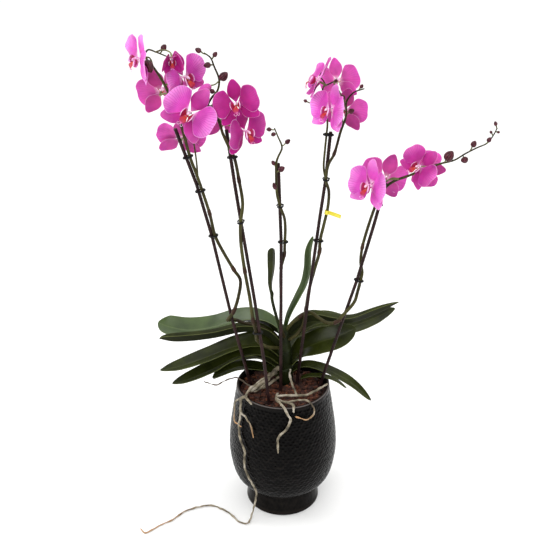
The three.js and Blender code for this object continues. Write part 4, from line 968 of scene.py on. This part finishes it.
# Each bloom's middle, the way it faces (turn to the viewer's right and tilt up), its roll clockwise,
# how open it is, its size, and where its stalk leaves the spike.
blooms = {
    "bloom_1a": {"at": [-221, -25, 848], "turn": -58, "roll": 24, "open": 0.9, "sepalDusk": 0,
                 "from": [-201, -20, 835]},
    "bloom_1b": {"at": [-194, 8, 790], "turn": 178, "tilt": 12, "roll": 16, "size": 1.04, "dusk": 0.15,
                 "sepalDusk": 0.5, "from": [-178, -22, 790]},
    "bloom_1c": {"at": [-167, -62, 855], "turn": 12, "tilt": -24, "open": 0.14, "size": 0.66, "dusk": 1,
                 "from": [-196, -12, 855]},
    "bloom_1d": {"at": [-153, -36, 822], "turn": 48, "tilt": 5, "roll": -16, "size": 1.05, "open": 0.86,
                 "dusk": 0.15, "sepalDusk": 0.7, "from": [-184, -22, 805]},
    "bloom_1e": {"at": [-143, -75, 777], "turn": -5, "tilt": 14, "roll": 38, "size": 1.1, "open": 0.95,
                 "dusk": 0.1, "sepalDusk": 0.6, "from": [-167, -22, 757]},
    "bloom_1f": {"at": [-167, 14, 712], "turn": 179, "tilt": 28, "roll": -8, "size": 1.04, "open": 0.94,
                 "dusk": 0.1, "from": [-157, -20, 722]},
    "bloom_2a": {"at": [-72, -74, 791], "turn": -12, "tilt": 18, "roll": -16, "size": 0.92, "dusk": 0.9,
                 "from": [-104, -42, 760]},
    "bloom_2b": {"at": [-60, -66, 746], "turn": 44, "tilt": 2, "roll": -8, "size": 1, "open": 0.88,
                 "dusk": 0.8, "sepalDusk": 0.2, "from": [-98, -46, 749]},
    "bloom_2c": {"at": [-98, -14, 750], "turn": 178, "size": 0.8, "from": [-100, -44, 755]},
    "bloom_4a": {"at": [53, 2, 808], "turn": -88, "tilt": 30, "roll": -8, "size": 1, "open": 0.84,
                 "dusk": 0.3, "from": [63, 12, 794]},
    "bloom_4b": {"at": [87, 42, 798], "turn": 155, "tilt": 4, "roll": 11, "size": 0.92, "open": 0.82,
                 "sepalDusk": 0.1, "from": [100, 14, 762]},
    "bloom_4c": {"at": [72, -34, 770], "turn": -52, "tilt": 18, "roll": 2, "open": 0.8, "sepalDusk": 0,
                 "from": [66, 9, 758]},
    "bloom_4d": {"at": [99, 34, 753], "turn": 160, "tilt": 12, "roll": -12, "size": 0.98, "open": 0.92,
                 "dusk": 0.1, "sepalDusk": 0.5, "from": [94, 14, 732]},
    "bloom_5a": {"at": [139, -34, 646], "turn": -50, "tilt": 13, "roll": 0, "size": 1.08, "open": 0.8,
                 "sepalDusk": 0.1, "from": [190, 0, 646]},
    "bloom_5b": {"at": [169, 28, 638], "turn": 180, "tilt": 5, "roll": -22, "size": 1.08, "open": 0.76,
                 "dusk": 0.1, "from": [190, -6, 644]},
    "bloom_5c": {"at": [216, -34, 679], "turn": -40, "tilt": 16, "roll": 42, "size": 0.9, "open": 0.9,
                 "dusk": 0.6, "sepalDusk": 0.2, "from": [232, -6, 666]},
    "bloom_5d": {"at": [236, 18, 659], "turn": 152, "tilt": -26, "roll": -88, "size": 0.82, "open": 0.74,
                 "dusk": 0.15, "from": [222, -6, 662]},
}


def routed(stakeName, path):
    # the path with the places beside its stake worked out
    return [beside(stakeName, *place) if isinstance(place, tuple) else place for place in path]


for node, form in spikes.items():
    stakeName = node.replace("spike", "stake")
    form["stem"] = routed(stakeName, form["stem"])
    form["twigs"] = [routed(stakeName, twig) for twig in form["twigs"]]

clip = {"inner": 3.8, "wall": 1.5, "height": 3.2, "teeth": 9, "tooth": 1.3}


def buildClip(node, stakeName, height, twig=None):
    # a snapped-on ring round the stake and the stem, with small teeth round it and a finger tab
    path = stakes[stakeName]
    centre = atHeight(path, height)
    along = (atHeight(path, height + 1) - atHeight(path, height - 1)).normalized()
    held = spikes[stakeName.replace("stake", "spike")]
    reach = atHeight(held["stem"] if twig is None else held["twigs"][twig], height) - centre
    toward = reach - along * reach.dot(along)
    spread = toward.length
    toward.normalize()
    across = along.cross(toward)

    def around(angle, radius, up):
        # a point of the oval round both rods
        shift = spread * smooth(math.cos(angle), -0.35, 0.35)
        point = centre + toward * (radius * math.cos(angle) + shift) + across * radius * math.sin(angle)
        return (point + along * up) * mm

    section = []
    for i in range(12):
        a = 2 * math.pi * i / 12
        section.append((0.5 * clip["wall"] * math.copysign(abs(math.cos(a)) ** 0.6, math.cos(a)),
                        0.5 * clip["height"] * math.copysign(abs(math.sin(a)) ** 0.6, math.sin(a))))
    middle = clip["inner"] + 0.5 * clip["wall"]

    def place(u, v):
        out, up = section[round(v * 12) % 12]
        return around(2 * math.pi * (u % 1), middle + out, up)

    parts = [gridShape("clipRing", 48, 12, place)]
    closeSeams()
    for i in range(clip["teeth"]):
        angle = 2 * math.pi * (i + 0.5) / clip["teeth"]
        size = clip["tooth"] * (1.7 if i == 2 else 1)
        bpy.ops.mesh.primitive_cube_add(size=1)
        tooth = bpy.context.object
        out = (toward * math.cos(angle) + across * math.sin(angle)).normalized()
        sideways = along.cross(out)
        spot = around(angle, middle + 0.55 * clip["wall"], 0)
        for vertex in tooth.data.vertices:
            x, y, z = vertex.co * size
            narrow = 0.75 if x > 0 else 1
            vertex.co = spot + (out * x * 1.2 + sideways * y * 1.1 * narrow + along * z * 1.5) * mm
        applyModifier(tooth, "BEVEL", width=0.0002, segments=2)
        parts.append(tooth)
    piece = joinPieces("toothed_" + node, parts)
    paint(piece, "blackClip")
    finishPiece(piece, node, 40)


for node, (stakeName, height, *twig) in clips.items():
    buildClip(node, stakeName, height, *twig)
print("clips:", len(clips))


spike = {"slim": 0.96, "stalk": 1.15, "sheath": 9, "hubBack": 4, "stalkRun": 12}


def bloomAxes(form):
    # z out of the bloom's face, y to its top sepal, x to the viewer's right
    turn, tilt, roll = [math.radians(form.get(key, 0)) for key in ("turn", "tilt", "roll")]
    z = Vector((math.sin(turn) * math.cos(tilt), -math.cos(turn) * math.cos(tilt), math.sin(tilt)))
    upright = (Vector((0, 0, 1)) - z * z.z).normalized()
    y = upright * math.cos(roll) + upright.cross(z) * math.sin(roll)
    return y.cross(z), y, z


def nearestOn(paths, point):
    # the nearest point to a place on the stem or the twigs
    spots = [curvePoint(path, i / 200) for path in paths for i in range(201)]
    return min(spots, key=lambda spot: (spot - point).length)


def stalkTo(form, paths):
    # a bloom's stalk: out of the stem, round to the bloom's back, thicker and paler where it joins it
    z = bloomAxes(form)[2]
    at, size = Vector(form["at"]), form.get("size", 1)
    start = nearestOn(paths, Vector(form["from"]))
    run = at - z * (spike["stalkRun"] + spike["hubBack"])
    middle = start.lerp(run, 0.5) + Vector((0, 0, 4))
    end = at - z * spike["hubBack"] * size
    path = [[*start, 1.5], [*middle, spike["stalk"]], [*run, spike["stalk"]], [*end, 1.9]]
    return paint(tube("bloomStalk", *sampled(path, 7), 10), "paleStalk")


def budOn(bud, paths):
    # a bud like a soft-edged drop, with its five folded sepals just showing, on a short stalk
    at, start, radius, length, *opening = bud
    at, start = Vector(at), nearestOn(paths, Vector(start))
    along = (at - start).normalized()
    neck = at - along * length * 0.92
    lift = start.lerp(neck, 0.55) + Vector((0, 0, -0.12 * (neck - start).length))
    stalk = tube("budStalk", *sampled([[*start, 1.2], [*lift, 1.0], [*neck, 1.3]], 5), 8)
    bpy.ops.mesh.primitive_uv_sphere_add(segments=20, ring_count=14, radius=1)
    body = bpy.context.object
    turn = along.to_track_quat("Z", "Y")
    for vertex in body.data.vertices:
        x, y, z = vertex.co
        angle = math.atan2(y, x)
        fold = 1 + 0.045 * math.cos(3 * angle + z) - 0.05 * abs(math.sin(1.5 * angle)) ** 6
        slim = (1 - 0.14 * z) * fold
        tip = z + 0.1 * max(z, 0) ** 6
        vertex.co = (at + turn @ Vector((x * slim * radius, y * slim * radius, tip * length * 0.95))) * mm
    return [paint(stalk, "paleStalk"), paint(body, "petalBack" if opening else "bud")]


def sheathAt(path, i):
    # the dry bract of a node: a slanted collar that hugs the stem above a slight swelling
    along = (Vector(path[i + 1][:3]) - Vector(path[i - 1][:3])).normalized()
    at, radius = Vector(path[i][:3]), path[i][3]
    spots = [(-2.5, 0.1), (-1, 0.5), (1, 0.65), (4, 0.5), (6.5, 0.35), (spike["sheath"], 0.1)]
    points = [(at + along * away) * mm for away, extra in spots]
    radii = [(radius + extra) * mm for away, extra in spots]
    return paint(tube("sheath", points, radii, 14), "stemSheath")


def buildSpike(node, form):
    paths = [form["stem"]] + form["twigs"]
    parts = []
    for path in paths:
        points, radii = sampled(path, 5)
        parts.append(paint(tube("stem", points, [r * spike["slim"] for r in radii], 14), "flowerStem"))
    parts += [sheathAt(form["stem"], i) for i in form["rings"]]
    for bud in form["buds"]:
        parts += budOn(bud, paths)
    for name, bloom in blooms.items():
        if name[-2] == node[-1]:
            parts.append(stalkTo(bloom, paths))
    piece = joinPieces("flowering_" + node, parts)
    finishPiece(piece, node)


for node, form in spikes.items():
    buildSpike(node, form)
print("spikes:", len(spikes))


# Blooms

bloomShape = {
    "inset": 3.2, "thickness": 0.55, "closing": 62, "lipThickness": 0.7,
    "sepal": {"reach": 42, "halfWidth": 12.6, "lift": -2, "bend": -0.08, "cup": -1.8, "grid": (10, 14)},
    "petal": {"reach": 40, "halfWidth": 22.5, "lift": 1.6, "bend": 0.02, "cup": -2.4, "grid": (16, 14)},
    # round the bloom, clockwise from the top
    "tepals": [(0, "sepal"), (130, "sepal"), (230, "sepal"), (80, "petal"), (280, "petal")],
    "ruffle": 1.5, "folds": 0.55,
}


def buildTepal(kind, angle, tilt, phase, dusk):
    form = bloomShape[kind]
    length = form["reach"] - bloomShape["inset"]
    out = Vector((math.sin(angle), math.cos(angle), 0))
    sideways = Vector((math.cos(angle), -math.sin(angle), 0))

    def place(u, v):
        x, y = discOf(u, v)
        t = (y + 1) / 2
        if kind == "petal":
            # narrow at the claw, then a broad fan whose upper shoulder is the wider one
            wide = x * mix(0.22, 1.04, smooth(t, -0.05, 0.5)) * (1 + 0.12 * max(y, 0) ** 2)
            t -= 0.03 * math.exp(-(x / 0.25) ** 2) * smooth(t, 0.8, 1)  # a faint notch at the tip
        else:
            wide = x * mix(0.4, 1, smooth(t, 0, 0.4)) * (1 - 0.3 * smooth(t, 0.5, 1))
        away = math.hypot(x, y)
        bearing = math.atan2(x, y)
        waves = math.sin(3 * bearing + phase) + 0.5 * math.sin(7 * bearing + 2 * phase)
        ruffle = bloomShape["ruffle"] * away ** 4 * waves
        ruffle *= smooth(t, 0.1, 0.45) * (1 if kind == "petal" else 0.5)
        groove = 0.5 * math.exp(-(x / 0.15) ** 2)
        if kind == "petal":
            groove = -0.5 * math.exp(-(x / 0.12) ** 2) * (1 - t)
        # soft folds fan out from the claw
        fan = math.atan2(x * form["halfWidth"], (t + 0.25) * form["reach"])
        ruffle += bloomShape["folds"] * math.sin(11 * fan + phase) * smooth(t, 0.1, 0.7)
        rise = length * t * math.sin(tilt) + form["bend"] * form["reach"] * t * t + form["cup"] * x * x + ruffle
        point = out * (bloomShape["inset"] + length * t * math.cos(tilt)) + sideways * wide * form["halfWidth"]
        return point + Vector((0, 0, form["lift"] * smooth(t, -0.1, 0.12) + rise + groove))

    tepal = paint(gridShape(kind, *form["grid"], place, round=True), "petalFront", "petalBack")
    if tepal.data.polygons[len(tepal.data.polygons) // 2].normal.z < 0:
        turnOver()
    applyModifier(tepal, "SOLIDIFY", thickness=bloomShape["thickness"], offset=0, material_offset=1)
    shade = tepal.data.attributes.new("dusk", "FLOAT", "POINT")
    shade.data.foreach_set("value", [dusk] * len(tepal.data.vertices))
    return tepal


def lipBlade(name, finish, across, along, place):
    blade = paint(gridShape(name, across, along, place), finish)
    applyModifier(blade, "SOLIDIFY", thickness=bloomShape["lipThickness"], offset=0)
    return blade


def lipRod(name, finish, path, around):
    points, radii = sampled(path, 4)
    return paint(tube(name, [p / mm for p in points], [r / mm for r in radii], around), finish)


def buildLip():
    # the middle lobe hangs down and out like a spade, the round side lobes stand up and cup the column
    def middle(u, v):
        x = 2 * u - 1
        hips = math.sin(math.pi * smooth(v, 0.1, 1)) ** 1.2
        wide = (mix(2.2, 1.3, v) + 3.4 * hips) * (1 - 0.6 * smooth(v, 0.75, 1))
        keel = 1.2 * (1 - x * x) * math.sin(math.pi * v)
        out = 4 + 8.5 * math.sin(0.72 * math.pi * v) + keel + 1.8 * x * x * hips
        return Vector((x * wide, -2 - 16.5 * v, out))

    parts = [lipBlade("middleLobe", "crimsonLip", 10, 14, middle)]
    for side in (-1, 1):
        def wing(u, v):
            x, y = discOf(u, v)
            out = (y + 1) / 2
            wide = x * 7.2 * (0.4 + 0.6 * smooth(out, 0, 0.45))
            curl = 3.2 * x * x * out + 3.4 * out ** 3
            apart = 1.6 + 9.4 * math.sin(1.5 * out) - curl
            return Vector((side * apart, -4.2 + wide + 2.2 * out, 2 + 11.5 * out + x * x))

        parts.append(lipBlade("sideLobe", "stripedLobe", 8, 8, wing))
        # the two tendrils that curl back from the lobe's tip
        tendril = [[side * 0.5, -17.8, 10, 0.5], [side * 1.6, -19.6, 10.6, 0.45], [side * 3.4, -19.8, 12, 0.38],
                   [side * 4.6, -18, 13.2, 0.32], [side * 3.8, -16.4, 13.6, 0.28], [side * 2.8, -17, 12.8, 0.2]]
        parts.append(lipRod("tendril", "column", tendril, 6))
        callus = [[side * 0.9, -3, 4.2, 0.9], [side * 1.4, -4, 6.6, 1.5], [side * 1.2, -5.2, 8.4, 0.8]]
        parts.append(lipRod("callus", "crimsonLip", callus, 8))
    # the column leans forward over the lip and ends in its rounded cap
    column = [[0, 0.6, -3, 1.6], [0, 0.8, 0, 2.4], [0, 1.2, 3, 2.1], [0, 1, 6.5, 2], [0, 0.2, 9.4, 2.3],
              [0, -0.8, 10.8, 1.7]]
    parts.append(lipRod("column", "column", column, 14))
    return joinPieces("lip", parts)


lipForm = buildLip()


def buildBloom(node, form, index):
    draw = random.Random(index)
    tilt = math.radians((1 - form.get("open", 1)) * bloomShape["closing"])
    parts = []
    for angle, kind in bloomShape["tepals"]:
        lean = math.radians(angle + draw.uniform(-3, 3))
        dusk = form.get("dusk", 0) + (form.get("sepalDusk", 0.35) if kind == "sepal" else 0)
        parts.append(buildTepal(kind, lean, tilt + draw.uniform(-0.05, 0.05), draw.uniform(0, 6), min(dusk, 1)))
    lip = lipForm.copy()
    lip.data = lipForm.data.copy()
    bpy.context.collection.objects.link(lip)
    piece = joinPieces("petals_" + node, parts + [lip])
    applyModifier(piece, "SUBSURF", levels=1, render_levels=1)
    size = form.get("size", 1)
    x, y, z = bloomAxes(form)
    turn = Matrix((x, y, z)).transposed().to_4x4()
    piece.data.transform(Matrix.Scale(mm, 4) @ Matrix.Translation(form["at"]) @ turn @ Matrix.Scale(size, 4))
    finishPiece(piece, node, 60)


for index, (node, form) in enumerate(blooms.items()):
    buildBloom(node, form, index + 1)
bpy.data.objects.remove(lipForm)
print("blooms:", len(blooms))


# Roots

roots = {
    "roots_left": [
        [
            [-9, 18, 272, 4.4], [-20, 2, 269, 4.6], [-33, -12, 265, 4.8], [-50, -27, 260, 5],
            [-58, -37, 259, 4.2],
        ],
        [
            [-8, 15, 254, 2.8], [-18, 3, 253, 2.8], [-33, -14, 252, 3], [-50, -27, 255, 3], [-57, -36, 258, 3],
        ],
        [
            [-50, -27, 258, 1.6], [-62, -14, 254, 1.5], [-74, 2, 254, 1.4], [-86, 9, 257, 1.3],
            [-110, 18, 243, 1.2], [-125, 26, 230, 1.1], [-148, 36, 231, 1],
        ],
        [
            [-12, 12, 264, 2], [-22, -3, 267, 2.1], [-34, -17, 259, 1.9], [-49, -31, 254, 2],
            [-60, -34, 256, 1.6],
        ],
        [[-24, -8, 273, 1.5], [-36, -16, 271, 1.6], [-45, -22, 266, 1.8], [-54, -34, 265, 1.6]],
        [
            [-50, -27, 261, 3], [-57, -38, 266, 2.3], [-61, -46.5, 264.5, 2.2], [-65, -53, 261, 2.3],
            [-66, -57, 258, 2.3],
        ],
        [
            [-66, -56, 258, 2.6], [-75, -55, 253, 2.4], [-76, -54, 236, 2.3], [-77, -56, 211, 2.2],
            [-80, -57, 196, 2.2], [-76, -67, 170, 2.1], [-70, -77, 157, 2.1], [-70, -79, 122, 2],
            [-61, -84, 99, 2], [-49, -83, 68, 2], [-52, -80, 40, 1.7], [-58, -81, 14, 1.6], [-61, -84, 3, 1.5],
            [-66, -92, 2, 1.5], [-79, -90, 2, 1.5], [-102, -63, 2, 1.5], [-137, -42, 2, 1.5],
            [-159, -46, 2, 1.5], [-185, -58, 2, 1.4], [-206, -82, 1.8, 1.3], [-229, -98, 1.8, 1.2],
            [-253, -118, 1.8, 1.2], [-263, -107, 1.6, 1.1],
        ],
        [
            [-74, -52, 254, 2], [-86, -40, 236, 1.6], [-88, -38, 215, 1.4], [-89, -40, 198, 1.3],
            [-76, -62, 198, 1],
        ],
        [[-77, -56, 226, 1.8], [-67, -67, 222, 1.6], [-57, -77, 208, 1.4], [-53, -83, 190, 1.2]],
        [[-66, -56, 256, 2.4], [-61, -66, 256, 2.2], [-56, -76, 256, 1.6]],
    ],
    "roots_front": [
        [
            [-12, -40, 248, 2.4], [10, -38, 249, 2.4], [25, -40, 250, 2.6], [42, -40, 251, 2.6],
            [58, -31, 254, 2.4], [80, -15, 258, 1.6],
        ],
        [[13, -14, 288, 1.6], [12, -14, 276, 2], [18, -22, 258, 2], [24, -38, 248, 2]],
        [
            [-10, -28, 246, 2.4], [-13, -50, 250, 2.4], [-6, -74, 256, 2.4], [2, -88, 254, 2.3],
            [12, -92, 232, 2.3], [7, -95, 219, 2.3], [-9, -98, 198, 2.2], [-9, -102, 170, 1.5],
        ],
        [[-12, -48, 249, 2.4], [-3, -58, 249, 2.4], [8, -68, 254, 2.4], [17, -83, 257, 2.2], [18, -89, 248, 2]],
        [
            [6, -66, 252, 1.8], [26, -64, 256, 1.7], [42, -68, 258, 1.6], [53, -74, 248, 1.5],
            [54, -78, 236, 1.4], [42, -83, 228, 1.3], [22, -92, 240, 1.1],
        ],
    ],
}

# the thin ends are tan between these radii, and one root, its node and its number, is dry and brown
rootShape = {
    "knots": 0.34, "wrinkle": 0.16, "kink": 1.3, "seed": 27, "thin": (1.0, 1.6), "dry": ("roots_left", 2),
}


def buildRoots(node, paths):
    parts = []
    for number, path in enumerate(paths):
        points, radii = sampled(path, 8)
        for i in range(1, len(points) - 1):
            # small kinks, as a root gets between the chips
            wander = noise.noise_vector(points[i] / mm / 9 + Vector((number, 0, 0)))
            points[i] = points[i] + Vector((wander.x, wander.y, wander.z * 0.6)) * rootShape["kink"] * mm

        def knots(along, angle):
            where = Vector((math.cos(angle) * 0.8, math.sin(angle) * 0.8, along / mm / 5 + 40 * number))
            slow = noise.noise(Vector((number * 9, 3, along / mm / 11)))
            return (rootShape["knots"] * slow + rootShape["wrinkle"] * noise.noise(where)) * 2.4 * mm

        root = paint(tube("airRoot", points, [r * 0.97 for r in radii], 14, knots), "silverRoot")
        thin = root.data.attributes.new("thin", "FLOAT", "POINT")
        for vertex, value in zip(root.data.vertices, thin.data):
            nearest = min(range(len(points)), key=lambda i: (points[i] - vertex.co).length_squared)
            value.value = 1 - smooth(radii[nearest] / mm, *rootShape["thin"])
        dryness = 0.9 if (node, number) == rootShape["dry"] else 0
        dry = root.data.attributes.new("dry", "FLOAT", "POINT")
        dry.data.foreach_set("value", [dryness] * len(root.data.vertices))
        parts.append(root)
    piece = joinPieces("silvery_" + node, parts)
    finishPiece(piece, node)


# noise_vector would otherwise start from the clock and kink the roots anew each run
noise.seed_set(rootShape["seed"])
for node, paths in roots.items():
    buildRoots(node, paths)
print("roots:", len(roots))


# Tag

tag = {"spike": "spike_4", "height": 581, "loop": 3.4, "length": 22, "width": 7, "thickness": 0.5}


def buildTag():
    # a strip of soft plastic looped round the stem, its tail drooping to the right
    stem = spikes[tag["spike"]]["stem"]
    along = (atHeight(stem, tag["height"] + 3) - atHeight(stem, tag["height"] - 3)).normalized()
    centre = atHeight(stem, tag["height"])
    turn = Vector((0, 0, 1)).rotation_difference(along)
    bend, tail = 40, 20

    def strip(u, v):
        up = (u - 0.5) * tag["width"]
        step = v * (bend + tail)
        if step <= bend:
            angle = -0.25 + 2 * math.pi * (1 - step / bend)
            flat = Vector((tag["loop"] * math.cos(angle), tag["loop"] * math.sin(angle), up))
        else:
            away = (step - bend) / tail
            flat = Vector((tag["loop"] * math.cos(0.25) + tag["length"] * away,
                           -0.3 - 0.6 * math.sin(2.5 * away), up - 3 * away - 0.8 * away ** 2))
        return (centre + turn @ flat) * mm

    piece = gridShape("bareLabel", 6, bend + tail, strip)
    applyModifier(piece, "SOLIDIFY", thickness=tag["thickness"] * mm, offset=0)
    applyModifier(piece, "BEVEL", width=0.0001, segments=1, limit_method="ANGLE")
    paint(piece, "yellowLabel")
    finishPiece(piece, "tag", 40)


buildTag()
print("tag")


# Floor, light and camera

view = {"pixels": 553, "focus": 900, "at": (-0.0119, -1.402, 1.145), "down": 25.78, "sensor": 36}


def paleFloor():
    # matt painted board, almost white, with a faint mottle
    material, addNode, coords = startMaterial("paleBoard", Roughness=0.9)
    place = coords["Object"]
    cloud = addNode("TexNoise", {"Vector": place, "Scale": 6, "Detail": 3})
    addNode("ValToRGB", {"Fac": cloud}, [(0.3, "#F3F3F2"), (0.7, "#F7F7F6")], into="Base Color")
    bpy.ops.mesh.primitive_plane_add(size=18)
    floor = bpy.context.object
    floor.name = "paleFloor"
    floor.data.materials.append(material)


def softLight(name, at, target, size, power):
    bpy.ops.object.light_add(type="AREA", location=at)
    light = bpy.context.object
    light.name = name
    light.data.shape = "RECTANGLE"
    light.data.size, light.data.size_y = size
    light.data.energy = power
    light.rotation_euler = (Vector(target) - Vector(at)).to_track_quat("-Z", "Y").to_euler()


paleFloor()
softLight("overheadSilk", (0, 3.4, 4), (0, 3.4, 0), (12, 15), 760)
softLight("frontSoftbox", (-0.7, -2.5, 1.9), (0, 0, 0.75), (1.6, 1.2), 34)
softLight("leftSoftbox", (-2.0, 0.4, 1.0), (0, 0, 0.35), (0.9, 1.8), 20)
softLight("rightSoftbox", (2.0, 0.5, 1.1), (0, 0, 0.4), (0.8, 1.6), 15)
world = bpy.data.worlds.new("studio")
world.use_nodes = True
world.node_tree.nodes["Background"].inputs["Color"].default_value = hexColour("#F4F4F4")
world.node_tree.nodes["Background"].inputs["Strength"].default_value = 0.22
bpy.context.scene.world = world

bpy.ops.object.camera_add(location=view["at"], rotation=(math.radians(90 - view["down"]), 0, 0))
camera = bpy.context.object
camera.data.sensor_width = view["sensor"]
camera.data.lens = view["focus"] / view["pixels"] * view["sensor"]
bpy.context.scene.camera = camera
bpy.context.scene.view_settings.view_transform = "Standard"

print("done")
